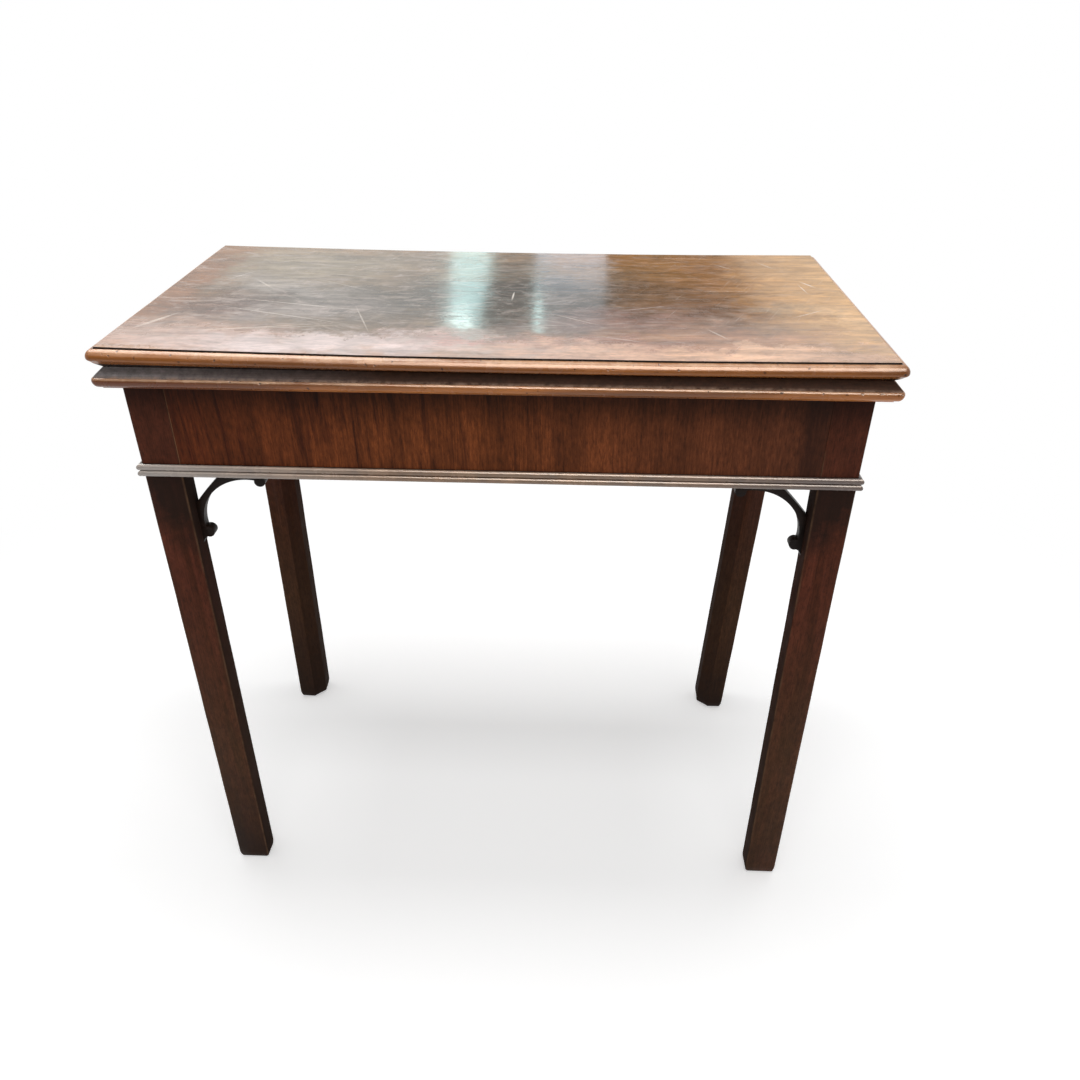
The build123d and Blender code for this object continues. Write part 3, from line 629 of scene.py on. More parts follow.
def piece(name, shape, body, replaced, slot, materials, choose=None):
    """Make a bmesh or a mesh into a finished piece that stands for a CAD node."""
    if isinstance(shape, bpy.types.Mesh):
        made_by_modifiers = shape
        shape = bmesh.new()
        shape.from_mesh(made_by_modifiers)
        bpy.data.meshes.remove(made_by_modifiers)
    crease = radians(35)
    for edge in shape.edges:
        edge.smooth = edge.calc_face_angle(0) < crease
    for face in shape.faces:
        face.smooth = True
    mesh = bpy.data.meshes.new(name)
    shape.to_mesh(mesh)
    shape.free()
    if mesh.has_custom_normals:
        mesh.attributes.remove(mesh.attributes["custom_normal"])
    mesh.materials.clear()
    for material in materials:
        mesh.materials.append(material)
    if choose:
        for face in mesh.polygons:
            face.material_index = choose(face.center, face.normal)
    made = bpy.data.objects.new(name, mesh)
    bpy.context.scene.collection.objects.link(made)
    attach(made, body)
    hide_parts(replaced)
    return made


def working_object(shape):
    """Object that holds a bmesh while its modifiers work on it."""
    mesh = bpy.data.meshes.new("working")
    shape.to_mesh(mesh)
    shape.free()
    made = bpy.data.objects.new("working", mesh)
    bpy.context.scene.collection.objects.link(made)
    return made


def evaluated_mesh(source):
    """Plain mesh of an object with its modifiers applied; the object goes."""
    bpy.context.view_layer.update()
    graph = bpy.context.evaluated_depsgraph_get()
    mesh = bpy.data.meshes.new_from_object(source.evaluated_get(graph))
    bpy.data.objects.remove(source)
    return mesh


def dress(material, *names):
    for name in names:
        NODES[name].data.materials.clear()
        NODES[name].data.materials.append(material)


def new_group(name, sockets):
    """Geometry node group with named inputs, and the sockets that they come in by."""
    tree = bpy.data.node_groups.new(name, "GeometryNodeTree")
    tree.interface.new_socket("Geometry", in_out="OUTPUT", socket_type="NodeSocketGeometry")
    for kind, names in sockets.items():
        for socket in names:
            tree.interface.new_socket(socket, in_out="INPUT", socket_type="NodeSocket" + kind)
    return tree, tree.nodes.new("NodeGroupInput").outputs


def close_group(tree, geometry, material):
    """End a group in real geometry with its material."""
    real = add(tree, "GeometryNodeRealizeInstances", {"Geometry": geometry})
    done = add(tree, "GeometryNodeSetMaterial", {"Geometry": real, "Material": material})
    add(tree, "NodeGroupOutput", {"Geometry": done})


def grown(tree, shape, values):
    """Mesh that a group makes from a bmesh, with its inputs set by name."""
    source = working_object(shape)
    modifier = source.modifiers.new("grow", "NODES")
    modifier.node_group = tree
    for item in tree.interface.items_tree:
        if item.in_out == "INPUT" and item.name in values:
            modifier[item.identifier] = values[item.name]
    return evaluated_mesh(source)


# Leaves

CORNER_SHARES = (1, 0.7, 0.4, 0.15)     # of the corner's rounding, where its faces are divided
NOSE_CUTS = (0.8 * MM, 2 * MM)          # below the tuck, where the noses are divided
LEAF_PITCH = 20 * MM                    # between the other divisions
HOLLOW_SHARES = (0.985, 0.214, -0.771)  # parabola of the sunk top, from its middle to an end
HOLLOW_START = 5.5 * MM                 # above the meeting faces, where the inner wood sinks
HOLLOW_REACH = 15 * MM                  # from there to where it sinks fully
LEAF_WAVE = 0.25 * MM                   # unevenness of the planed wood
WAVES_LEVEL, WAVES_UP = 14, 40          # of its noise to the metre, along the leaf and upwards
EDGE_LIFT = 0.3 * MM                    # of the lower leaf's edge, full at its underside
EDGE_REACH = 20 * MM
FRAME_GAP = 2 * MM                      # round the frame, where the lower leaf stays flat


def hollow_at(x):
    """How far the face of the top has sunk at x: most a little right of the middle."""
    middle, slope, bend = HOLLOW_SHARES
    share = x / SIDE_X
    return (middle + slope * share + bend * share ** 2) * bpy.context.scene.card_table_sizes.hollow


def worn_leaf(node):
    """Leaf with rounded front corners; the upper one is hollow along its length."""
    corner = bpy.context.scene.card_table_sizes.corner
    upper = node == "upper_leaf"
    shape = merged_copy(node)
    ends = [SIDE_X - corner * share for share in CORNER_SHARES]
    cut(shape, "X", steps(-SIDE_X + LEAF_PITCH, SIDE_X - LEAF_PITCH, LEAF_PITCH))
    cut(shape, "X", ends + [-x for x in ends])
    cut(shape, "Y", steps(FRONT_Y + LEAF_PITCH, BACK_Y - LEAF_PITCH, 2 * LEAF_PITCH))
    cut(shape, "Y", [FRONT_Y + corner * share for share in CORNER_SHARES])
    way = 1 if upper else -1
    cut(shape, "Z", [MEETING_Z + way * (TUCK - gap) for gap in NOSE_CUTS])
    start_x, start_y = SIDE_X - corner, FRONT_Y + corner
    for vertex in shape.verts:
        x, y, z = vertex.co
        round_x, round_y = round_corner(abs(x) - start_x, start_y - y)
        uneven = noise.noise((x * WAVES_LEVEL, y * WAVES_LEVEL, z * WAVES_UP)) * LEAF_WAVE
        vertex.co.x = (1 if x > 0 else -1) * (start_x + round_x)
        vertex.co.y = start_y - round_y
        inset = min(SIDE_X - abs(x), y - FRONT_Y)
        above = z - MEETING_Z
        if upper:
            # A nose sinks fully from its tuck up, and the wood behind it only near the top
            share = above / TUCK if inset < NOSE else (above - HOLLOW_START) / HOLLOW_REACH
            vertex.co.z = z - (hollow_at(x) + uneven) * clamped(share)
        elif y < FRAME_FRONT - FRAME_GAP or abs(x) > FRAME_SIDE + FRAME_GAP:
            vertex.co.z = z + (EDGE_LIFT + uneven) * clamped(-above / EDGE_REACH)
    return shape


OUTER_FACE, MOULDING, INSIDE, SLOPE = range(4)      # materials of a leaf, in their order


def leaf_part(upper):
    """Which material a face of a leaf has, by its middle and the way it faces."""
    way = 1 if upper else -1

    def choose(centre, normal):
        inset = min(SIDE_X - abs(centre.x), centre.y - FRONT_Y)
        depth = abs(centre.z - MEETING_Z)
        if normal.z * way > 0.9 and inset > QUIRK - 0.1 * MM and depth > TUCK:
            return OUTER_FACE
        playing = depth < 3 * MM and inset > MEETING_RIM
        hinged_edge = normal.y > 0.9 and inset > QUIRK
        if playing or hinged_edge:
            return INSIDE
        if not upper and 0.3 < normal.z < 0.97 and MEETING_Z - centre.z < TUCK - 0.1 * MM:
            return SLOPE
        return MOULDING
    return choose


class CARDTABLE_OT_leaves(bpy.types.Operator):
    """Finish the two leaves of the folding top"""
    bl_idname = "cardtable.leaves"
    bl_label = "Leaves"

    def execute(self, context):
        colours = context.scene.card_table_colours
        inside = plain_wood("unfaded_polished_mahogany", colours.inside, tone("#54260f"), "X",
                            roughness=0.25, specular=0.5, width=40 * MM)
        under = plain_wood("unpolished_mahogany", tone("#8a5a3c"), tone("#5b3320"), "X",
                           roughness=0.7, specular=0.3, width=40 * MM)
        upper_nose = rubbed_moulding("rubbed_upper_moulding", colours.nose, True)
        lower_nose = rubbed_moulding("rubbed_lower_moulding", tone("#c97a36"), False)
        piece("upper_leaf_worn", worn_leaf("upper_leaf"), "upper_leaf", "upper_leaf",
              "mahogany_top", [polished_top(), upper_nose, inside], leaf_part(True))
        piece("lower_leaf_worn", worn_leaf("lower_leaf"), "frame", "lower_leaf",
              "mahogany_top", [under, lower_nose, inside, dusty_shaded_slope()], leaf_part(False))
        return {"FINISHED"}


# Baize

CLOTH_THICKNESS = 0.5 * MM
CLOTH_CELLS = (166, 82)     # across and from front to back, 4 mm each
CLOTH_WAVE = 0.05 * MM
CLOTH_WAVES = 18            # to the metre
RIM_DROP = 0.35 * MM        # of the cloth's edge, over the last few millimetres
RIM_WIDTH = 3 * MM


def baize_sheet(node):
    """Cloth panel with a slightly uneven surface and soft edges."""
    low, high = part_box(node)
    way = 1 if node == "lower_baize" else -1
    face_z = high.z if way > 0 else low.z
    shape = bmesh.new()
    bmesh.ops.create_grid(shape, x_segments=CLOTH_CELLS[0], y_segments=CLOTH_CELLS[1], size=0.5)
    for vertex in shape.verts:
        x = low.x + (vertex.co.x + 0.5) * (high.x - low.x)
        y = low.y + (vertex.co.y + 0.5) * (high.y - low.y)
        rim = min(x - low.x, high.x - x, y - low.y, high.y - y)
        drop = RIM_DROP * max(0, 1 - rim / RIM_WIDTH)
        wave = (noise.noise((x * CLOTH_WAVES, y * CLOTH_WAVES, 3.0)) - 1) * CLOTH_WAVE
        vertex.co = (x, y, face_z + way * (wave - drop))
    if way < 0:
        bmesh.ops.reverse_faces(shape, faces=shape.faces)
    source = working_object(shape)
    solid = source.modifiers.new("thickness", "SOLIDIFY")
    solid.thickness = CLOTH_THICKNESS
    solid.offset = -1
    return evaluated_mesh(source)


class CARDTABLE_OT_baize(bpy.types.Operator):
    """Lay the baize in the two playing faces"""
    bl_idname = "cardtable.baize"
    bl_label = "Baize"

    def execute(self, context):
        cloth = baize_cloth()
        for node, body, leaf in (("lower_baize", "frame", "lower_leaf_worn"),
                                 ("upper_baize", "upper_leaf", "upper_leaf_worn")):
            made = piece(node + "_cloth", baize_sheet(node), body, node, "baize", [cloth])
        return {"FINISHED"}


# Frame

class CARDTABLE_OT_frieze(bpy.types.Operator):
    """Veneer the front and the sides of the frame"""
    bl_idname = "cardtable.frieze"
    bl_label = "Frieze"

    def execute(self, context):
        dress(figured_veneer("figured_mahogany_veneer_front", (0.4, 0, 0)), "front_frieze_veneer")
        dress(figured_veneer("figured_mahogany_veneer_side", (1.7, 0.3, 0)),
              "left_side_veneer", "right_side_veneer")
        return {"FINISHED"}


class CARDTABLE_OT_rails(bpy.types.Operator):
    """Finish the oak rails, the cross brace and the pine blocks"""
    bl_idname = "cardtable.rails"
    bl_label = "Rails and blocks"

    def execute(self, context):
        colours = context.scene.card_table_colours
        for index, name in enumerate(sorted(NODES)):
            if name.endswith("block"):
                dress(plain_wood("glue_block_pine_" + name, colours.pine, tone("#9b7142"), "X",
                                 roughness=0.7, specular=0.3, place=(0.31 * index, 0.2, 0.1),
                                 width=12 * MM), name)
            elif name.endswith("rail") or name == "cross_brace":
                grain = "Y" if name in ("cross_brace", "left_side_rail", "right_side_rail") else "X"
                dress(plain_wood("sawn_oak_" + name, colours.oak, tone("#7a5a38"), grain,
                                 roughness=0.65, specular=0.35, place=(0.27 * index, 0.1, 0.3),
                                 width=20 * MM, depth=0.08 * MM), name)
        return {"FINISHED"}


# Legs

LEGS = (("front_left_leg", -1, False), ("front_right_leg", 1, False),
        ("back_left_leg", -1, True), ("fly_leg", 1, True))
FOOT_CUTS = (4 * MM, 7 * MM, 11 * MM, 17 * MM)
LEG_PITCH = 14 * MM         # between the divisions further up, from the first of them
LEG_FIRST_CUT = 30 * MM
SOUND_TOP = 3 * MM          # left unworn under the rail
FOOT_REACH = 13 * MM        # how far up a foot is rubbed
FOOT_WAVES, FOOT_STRAY = 60, 0.8        # to the metre, and how unevenly it is rubbed
LEG_WANDER = 0.3 * MM       # how far the worn faces stray
LEG_WAVES = 22              # to the metre
WANDER_REACH = 30 * MM      # from the unworn top down to where they stray fully
WEAR_SEED = 7               # of the offsets that the noise vectors are drawn with


def lean_matrix():
    """Place of the fly leg from an upright one."""
    pivot = Vector((FRAME_SIDE, 0, RAIL_BOTTOM))
    turn = Matrix.Rotation(radians(FLY_LEAN), 4, "Y")
    return Matrix.Translation(pivot) @ turn @ Matrix.Translation(-pivot)


def worn_leg(node, side, back, place):
    """Leg with its long corners rounded by wear and its foot rubbed."""
    sizes = bpy.context.scene.card_table_sizes
    top = RAIL_BOTTOM - SOUND_TOP
    shape = merged_copy(node)
    bmesh.ops.transform(shape, matrix=place.inverted(), verts=shape.verts)
    middle_y = FRAME_BACK - LEG_SIZE / 2 if back else FRAME_FRONT + LEG_SIZE / 2
    middle = Vector((side * (FRAME_SIDE - LEG_SIZE / 2), middle_y, 0))
    start = LEG_SIZE / 2 - sizes.arris
    cut(shape, "X", [middle.x - start, middle.x + start])
    cut(shape, "Y", [middle.y - start, middle.y + start])
    cut(shape, "Z", [*FOOT_CUTS, *steps(LEG_FIRST_CUT, top - MM, LEG_PITCH)])
    wear = shape.verts.layers.float.new("wear")
    for vertex in shape.verts:
        if vertex.co.z > top:
            continue
        away = vertex.co - middle
        way_x, way_y = (1 if away.x > 0 else -1), (1 if away.y > 0 else -1)
        past_x, past_y = abs(away.x) - start, abs(away.y) - start
        if min(past_x, past_y) > 0.01 * MM:
            vertex[wear] = 1.0
        past_x, past_y = round_corner(past_x, past_y)
        rubbed = 1 + FOOT_STRAY * noise.noise(vertex.co * FOOT_WAVES)
        foot = max(0, 1 - vertex.co.z / FOOT_REACH) ** 2 * sizes.foot_wear * rubbed
        wander = noise.noise_vector(vertex.co * LEG_WAVES) * LEG_WANDER
        fade = min(1, (top - vertex.co.z) / WANDER_REACH)
        vertex.co.x = middle.x + way_x * max(0, start + past_x - foot) + wander.x * fade
        vertex.co.y = middle.y + way_y * max(0, start + past_y - foot) + wander.y * fade
    bmesh.ops.transform(shape, matrix=place, verts=shape.verts)
    for vertex in shape.verts:
        vertex.co.z = max(0, vertex.co.z)
    return shape


class CARDTABLE_OT_legs(bpy.types.Operator):
    """Wear and finish the three fixed legs and the fly leg"""
    bl_idname = "cardtable.legs"
    bl_label = "Legs"

    def execute(self, context):
        noise.seed_set(WEAR_SEED)
        for index, (node, side, back) in enumerate(LEGS):
            fly = node == "fly_leg"
            # The back legs take a darker copy of the leg colour: painted shade
            light = tone("#4a281e") if back else context.scene.card_table_colours.leg
            soiled = 0.2 if node == "front_right_leg" else 0.85
            wood = leg_mahogany("stained_mahogany_" + node, (0.7 * index, 0.4, 0.2 * index), light,
                                side, soiled)
            place = lean_matrix() if fly else Matrix.Identity(4)
            piece(node + "_worn", worn_leg(node, side, back, place),
                  "fly_gate" if fly else "frame", node, "mahogany_legs", [wood])
        return {"FINISHED"}


# Twin-bead moulding

BEAD_PITCH = 6 * MM         # between the sections of a run
BEAD_WAVER = 0.5 * MM       # how far its crests stray inwards
ARC_STEPS = 12              # round each bead
GROOVE_ROOT, GROOVE_CREST = 1.2, -2.0   # nearness to the groove, read as 0 to 1 by the wood


def bead_section():
    """Section of the moulding as a closed line, from the top of its flat back round the two
    half-round beads to the foot of the back. Its points say how near they are to the groove."""
    half_chord, rise = BEAD_HEIGHT / 4, BEAD_CREST - BEAD_ROOT
    radius = (half_chord ** 2 / rise + rise) / 2
    places = [(0, 0)]
    for step in range(2 * ARC_STEPS + 1):
        across = (step / ARC_STEPS % 1 * 2 - 1) * half_chord
        front = BEAD_CREST - radius + sqrt(radius ** 2 - across ** 2)
        places.append((front, -BEAD_HEIGHT * step / (2 * ARC_STEPS)))
    places.append((0, -BEAD_HEIGHT))
    shape = bmesh.new()
    groove = shape.verts.layers.float.new("groove")
    for front, down in places:
        vertex = shape.verts.new((front, down, 0))
        out = clamped((front - BEAD_ROOT) / rise)
        vertex[groove] = GROOVE_ROOT + (GROOVE_CREST - GROOVE_ROOT) * out
    shape.verts.ensure_lookup_table()
    for k in range(len(places)):
        shape.edges.new((shape.verts[k - 1], shape.verts[k]))
    return shape


def moulding_group():
    """A section run along a line, mitred at its ends, with crests that waver inwards."""
    tree, given = new_group("twin_bead_moulding", {
        "Geometry": ("Section",), "Vector": ("Start", "End"),
        "Float": ("Crest", "Start Mitre", "End Mitre", "Pitch", "Unevenness"),
        "Material": ("Material",)})
    section = add(tree, "GeometryNodeMeshToCurve", {"Mesh": given["Section"]})
    run = add(tree, "GeometryNodeCurvePrimitiveLine", {"Start": given["Start"], "End": given["End"]})
    run = add(tree, "GeometryNodeResampleCurve", {"Curve": run, "Length": given["Pitch"]},
              mode="LENGTH")
    run = add(tree, "GeometryNodeSetCurveNormal", {"Curve": run}, mode="Z_UP")
    body = add(tree, "GeometryNodeCurveToMesh",
               {"Curve": run, "Profile Curve": section, "Fill Caps": True})
    whole = add(tree, "ShaderNodeVectorMath", {0: given["End"], 1: given["Start"]},
                operation="SUBTRACT")
    length = add(tree, "ShaderNodeVectorMath", {0: whole}, out=1, operation="LENGTH")
    forward = add(tree, "ShaderNodeVectorMath", {0: whole}, operation="NORMALIZE")
    outward = add(tree, "ShaderNodeVectorMath", {0: forward, 1: (0, 0, 1)},
                  operation="CROSS_PRODUCT")
    position = add(tree, "GeometryNodeInputPosition", {})
    offset = add(tree, "ShaderNodeVectorMath", {0: position, 1: given["Start"]},
                 operation="SUBTRACT")
    gone = add(tree, "ShaderNodeVectorMath", {0: offset, 1: forward}, out=1,
               operation="DOT_PRODUCT")
    proud = add(tree, "ShaderNodeVectorMath", {0: offset, 1: outward}, out=1,
                operation="DOT_PRODUCT")
    # Mitres: each end runs on by as much as a point stands out
    nearly = add(tree, "ShaderNodeMath", {0: length, 1: 0.1 * MM}, operation="SUBTRACT")
    at_end = add(tree, "ShaderNodeMath", {0: gone, 1: nearly}, operation="GREATER_THAN")
    at_start = add(tree, "ShaderNodeMath", {0: gone, 1: 0.1 * MM}, operation="LESS_THAN")
    on = add(tree, "ShaderNodeMath", {0: at_end, 1: given["End Mitre"]}, operation="MULTIPLY")
    off = add(tree, "ShaderNodeMath", {0: at_start, 1: given["Start Mitre"]}, operation="MULTIPLY")
    net = add(tree, "ShaderNodeMath", {0: on, 1: off}, operation="SUBTRACT")
    shift = add(tree, "ShaderNodeMath", {0: net, 1: proud}, operation="MULTIPLY")
    lengthened = add(tree, "ShaderNodeVectorMath", {0: forward, "Scale": shift}, operation="SCALE")
    waver = add(tree, "ShaderNodeTexNoise", {"Vector": position, "Scale": 1 / (25 * MM)})
    worn = add(tree, "ShaderNodeMath", {0: waver, 1: given["Unevenness"]}, operation="MULTIPLY")
    out_share = add(tree, "ShaderNodeMath", {0: proud, 1: given["Crest"]}, operation="DIVIDE")
    worn = add(tree, "ShaderNodeMath", {0: worn, 1: out_share}, operation="MULTIPLY")
    lost = add(tree, "ShaderNodeVectorMath", {0: outward, "Scale": worn}, operation="SCALE")
    moved = add(tree, "ShaderNodeVectorMath", {0: lengthened, 1: lost}, operation="SUBTRACT")
    body = add(tree, "GeometryNodeSetPosition", {"Geometry": body, "Offset": moved})
    close_group(tree, body, given["Material"])
    return tree


class CARDTABLE_OT_moulding(bpy.types.Operator):
    """Run the twin-bead moulding round the frame"""
    bl_idname = "cardtable.moulding"
    bl_label = "Twin-bead moulding"

    def execute(self, context):
        tree = moulding_group()
        wood = bead_mahogany()
        left_back, left_front = (-FRAME_SIDE, FRAME_BACK), (-FRAME_SIDE, FRAME_FRONT)
        right_front, right_back = (FRAME_SIDE, FRAME_FRONT), (FRAME_SIDE, FRAME_BACK)
        right_end = (FRAME_SIDE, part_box("right_astragal")[1].y)
        fly_end = (FRAME_SIDE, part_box("fly_leg_astragal")[0].y)
        runs = (("left_astragal", left_back, left_front, 0.0, 1.0),
                ("front_astragal", left_front, right_front, 1.0, 1.0),
                ("right_astragal", right_front, right_end, 1.0, 0.0),
                ("fly_leg_astragal", fly_end, right_back, 0.0, 0.0))
        for node, start, end, start_mitre, end_mitre in runs:
            mesh = grown(tree, bead_section(), {
                "Start": (*start, RAIL_BOTTOM), "End": (*end, RAIL_BOTTOM), "Crest": BEAD_CREST,
                "Start Mitre": start_mitre, "End Mitre": end_mitre, "Pitch": BEAD_PITCH,
                "Unevenness": BEAD_WAVER, "Material": wood})
            fly = node == "fly_leg_astragal"
            if fly:
                mesh.transform(lean_matrix())
            piece(node + "_run", mesh, "fly_gate" if fly else "frame", node,
                  "mahogany_mouldings", [wood])
        return {"FINISHED"}


# Brackets

BRACKET_EDGE = 0.9 * MM


class CARDTABLE_OT_brackets(bpy.types.Operator):
    """Round and finish the two scroll brackets"""
    bl_idname = "cardtable.brackets"
    bl_label = "Scroll brackets"

    def execute(self, context):
        colours = context.scene.card_table_colours
        for index, node in enumerate(("front_left_bracket", "front_right_bracket")):
            source = working_object(merged_copy(node))
            bevel = source.modifiers.new("worn_edges", "BEVEL")
            bevel.width = BRACKET_EDGE
            bevel.segments = 3
            bevel.limit_method = "ANGLE"
            bevel.angle_limit = radians(50)
            wood = plain_wood("blackened_mahogany_" + node, colours.bracket, tone("#150c08"), "X",
                              roughness=0.4, specular=0.12, place=(0.9 * index, 0.5, 0),
                              width=10 * MM)
            piece(node + "_worn", evaluated_mesh(source), "frame", node, "mahogany_mouldings",
                  [wood])
        return {"FINISHED"}


# Metal

IRON_SCREW = (2.2 * MM, 4.2 * MM)       # radii of the shank and of the head
BRASS_SCREW = (1.3 * MM, 2.8 * MM)
SLOT_SHARE = 0.24                       # width of the slot, of the head's radius
SLOT_LENGTH = 2.4                       # its length, of the same radius
THREADED_SHARE = 0.6                    # of a screw's length
BACK_RAIL_PITCH = 97 * MM
STRAP_SHARES = (0.34, 0.62, 0.88)       # places of a strap's screws, from the back of the leaf
UP, DOWN, BACKWARD = (pi, 0, 0), (0, 0, 0), (pi / 2, 0, 0)      # turns of a screw driven so


def screw_group():
    """Countersunk wood screws with a slot and a thread, one on each point."""
    tree, given = new_group("countersunk_screws", {
        "Geometry": ("Geometry",), "Float": ("Shank", "Head", "Length", "Slot"),
        "Vector": ("Turn",), "Int": ("Seed",), "Material": ("Material",)})
    depth = add(tree, "ShaderNodeMath", {0: given["Head"], 1: given["Shank"]}, operation="SUBTRACT")
    down = add(tree, "ShaderNodeMath", {0: depth, 1: -1.0}, operation="MULTIPLY")
    below = add(tree, "ShaderNodeCombineXYZ", {"Z": down})
    head = add(tree, "GeometryNodeMeshCone",
               {"Vertices": 40, "Radius Top": given["Head"], "Radius Bottom": given["Shank"],
                "Depth": depth})
    head = add(tree, "GeometryNodeTransform", {"Geometry": head, "Translation": below})
    # Slot across the head, half as deep as the head
    wide = add(tree, "ShaderNodeMath", {0: given["Head"], 1: SLOT_LENGTH}, operation="MULTIPLY")
    slot_size = add(tree, "ShaderNodeCombineXYZ", {"X": wide, "Y": given["Slot"], "Z": depth})
    slot = add(tree, "GeometryNodeMeshCube", {"Size": slot_size})
    head = add(tree, "GeometryNodeMeshBoolean", {"Mesh 1": head, "Mesh 2": slot},
               operation="DIFFERENCE", solver="EXACT")
    # Core, and a thread wound round its lower part; their radii are shares of the shank's
    core_radius, tip, ridge_radius = [
        add(tree, "ShaderNodeMath", {0: given["Shank"], 1: share}, operation="MULTIPLY")
        for share in (0.8, 0.3, 0.18)]
    low_end = add(tree, "ShaderNodeMath", {0: given["Length"], 1: -1.0}, operation="MULTIPLY")
    core_length = add(tree, "ShaderNodeMath", {0: given["Length"], 1: depth}, operation="SUBTRACT")
    lift = add(tree, "ShaderNodeCombineXYZ", {"Z": low_end})
    core = add(tree, "GeometryNodeMeshCone",
               {"Vertices": 24, "Radius Top": given["Shank"], "Radius Bottom": tip,
                "Depth": core_length})
    core = add(tree, "GeometryNodeTransform", {"Geometry": core, "Translation": lift})
    threaded = add(tree, "ShaderNodeMath", {0: given["Length"], 1: THREADED_SHARE},
                   operation="MULTIPLY")
    turns = add(tree, "ShaderNodeMath", {0: threaded, 1: given["Shank"]}, operation="DIVIDE")
    helix = add(tree, "GeometryNodeCurveSpiral",
                {"Resolution": 18, "Rotations": turns, "Start Radius": tip,
                 "End Radius": core_radius, "Height": threaded})
    ridge = add(tree, "GeometryNodeCurvePrimitiveCircle", {"Resolution": 4, "Radius": ridge_radius})
    thread = add(tree, "GeometryNodeCurveToMesh",
                 {"Curve": helix, "Profile Curve": ridge, "Fill Caps": True})
    thread = add(tree, "GeometryNodeTransform", {"Geometry": thread, "Translation": lift})
    joined = tree.nodes.new("GeometryNodeJoinGeometry")
    for part in (head, core, thread):
        tree.links.new(part, joined.inputs[0])
    turn = add(tree, "FunctionNodeEulerToRotation", {0: given["Turn"]})
    screws = add(tree, "GeometryNodeInstanceOnPoints",
                 {"Points": given["Geometry"], "Instance": joined.outputs[0], "Rotation": turn})
    spin = add(tree, "FunctionNodeRandomValue", {3: pi, "Seed": given["Seed"]}, out=1,
               data_type="FLOAT")
    axis = add(tree, "ShaderNodeCombineXYZ", {"Z": spin})
    angle = add(tree, "FunctionNodeEulerToRotation", {0: axis})
    screws = add(tree, "GeometryNodeRotateInstances", {"Instances": screws, "Rotation": angle})
    close_group(tree, screws, given["Material"])
    return tree


def middle_of(low, high):
    return (low + high) / 2


def screw_points():
    """Where the heads of each node's screws are, one list for each node."""
    block_boxes = [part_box(name) for name in sorted(NODES) if name.endswith("top_block")]
    blocks = [(*middle_of(low, high).xy, low.z) for low, high in block_boxes]
    low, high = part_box("back_rail_screws")
    head = IRON_SCREW[1]
    rail = [(x, low.y, middle_of(low, high).z)
            for x in steps(low.x + head, high.x - head, BACK_RAIL_PITCH)]
    low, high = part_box("right_lower_strap")
    straps = [(side * middle_of(low, high).x, BACK_Y - share * (BACK_Y - low.y))
              for side in (-1, 1) for share in STRAP_SHARES]
    return blocks, rail, straps


class CARDTABLE_OT_metal(bpy.types.Operator):
    """Finish the hinges and the knuckle pin, and drive the screws"""
    bl_idname = "cardtable.metal"
    bl_label = "Hinges and screws"

    def execute(self, context):
        colours = context.scene.card_table_colours
        brass = old_metal("tarnished_brass", colours.brass, tone("#6e5527"), 0.28)
        iron = old_metal("blackened_iron", colours.iron, tone("#3a2f28"), 0.45)
        dress(brass, *[name for name in NODES if name.endswith(("strap", "hinge_pin"))])
        dress(iron, "knuckle_pin")
        tree = screw_group()
        blocks, rail, straps = screw_points()
        lower = [(*place, LOWER[1].z) for place in straps]
        upper = [(*place, UPPER[0].z) for place in straps]
        drives = (
            ("top_fixing_screws", "frame", "iron", blocks, UP, IRON_SCREW, 33.6 * MM, iron),
            ("back_rail_screws", "frame", "iron", rail, BACKWARD, IRON_SCREW, 31.9 * MM, iron),
            ("lower_strap_screws", "frame", "brass", lower, DOWN, BRASS_SCREW, 10.7 * MM, brass),
            ("upper_strap_screws", "upper_leaf", "brass", upper, UP, BRASS_SCREW, 10.7 * MM, brass))
        for seed, (node, body, slot, places, turn, (shank, head), length, metal) in enumerate(drives):
            points = bmesh.new()
            for place in places:
                points.verts.new(place)
            mesh = grown(tree, points, {
                "Shank": shank, "Head": head, "Length": length, "Slot": SLOT_SHARE * head,
                "Turn": turn, "Seed": seed, "Material": metal})
            piece(node + "_slotted", mesh, body, node, slot, [metal])
        return {"FINISHED"}


# Studio

# Cards stood behind the table, which only its polish mirrors: left and right at the foot, left
# and right at the head, low and high edge, all in metres, then colour and strength.

CARDS_Y = 2.5
CARD_GAP = 2 * MM
CARDS = [
    (-3.0, 3.0, -3.0, 3.0, 1.6, 2.5, "#ffffff", 1.5),                 # pale wall above
    (-3.0, -0.96, -3.0, -1.3, 1.2, 1.63, "#ece4de", 0.95),
    (-0.96, -0.357, -1.3, -0.392, 1.2, 1.46, "#eef2f2", 1.15),
    (-1.165, -0.381, -1.3, -0.392, 1.46, 1.63, "#e8eef0", 1.0),
    (-0.357, -0.192, -0.392, -0.273, 1.2, 1.66, "#cdf2f2", 3.3),      # window
    (-0.403, -0.302, -0.403, -0.302, 1.575, 1.67, "#e2fbf6", 9.0),    # lamp in the window
    (-0.192, -0.055, -0.28, -0.055, 1.2, 1.63, "#dfe6e8", 0.5),
    (-0.055, 0.213, -0.055, 0.213, 1.2, 1.43, "#d8e4f0", 2.0),        # second window
    (-0.055, 0.213, -0.055, 0.213, 1.43, 1.63, "#dde8ee", 1.05),
    (-0.058, -0.032, -0.058, -0.032, 1.5, 1.68, "#d8fbf8", 7.0),
    (0.213, 0.577, 0.213, 0.875, 1.2, 1.63, "#c9b8a4", 0.2),          # dark doorway
    (0.577, 3.0, 0.875, 3.0, 1.2, 1.63, "#fff0dc", 1.0),
]

# Cards above and in front, which only glints on the mouldings mirror: left, right, then the
# y and z of the near and of the far edge, colour and strength.

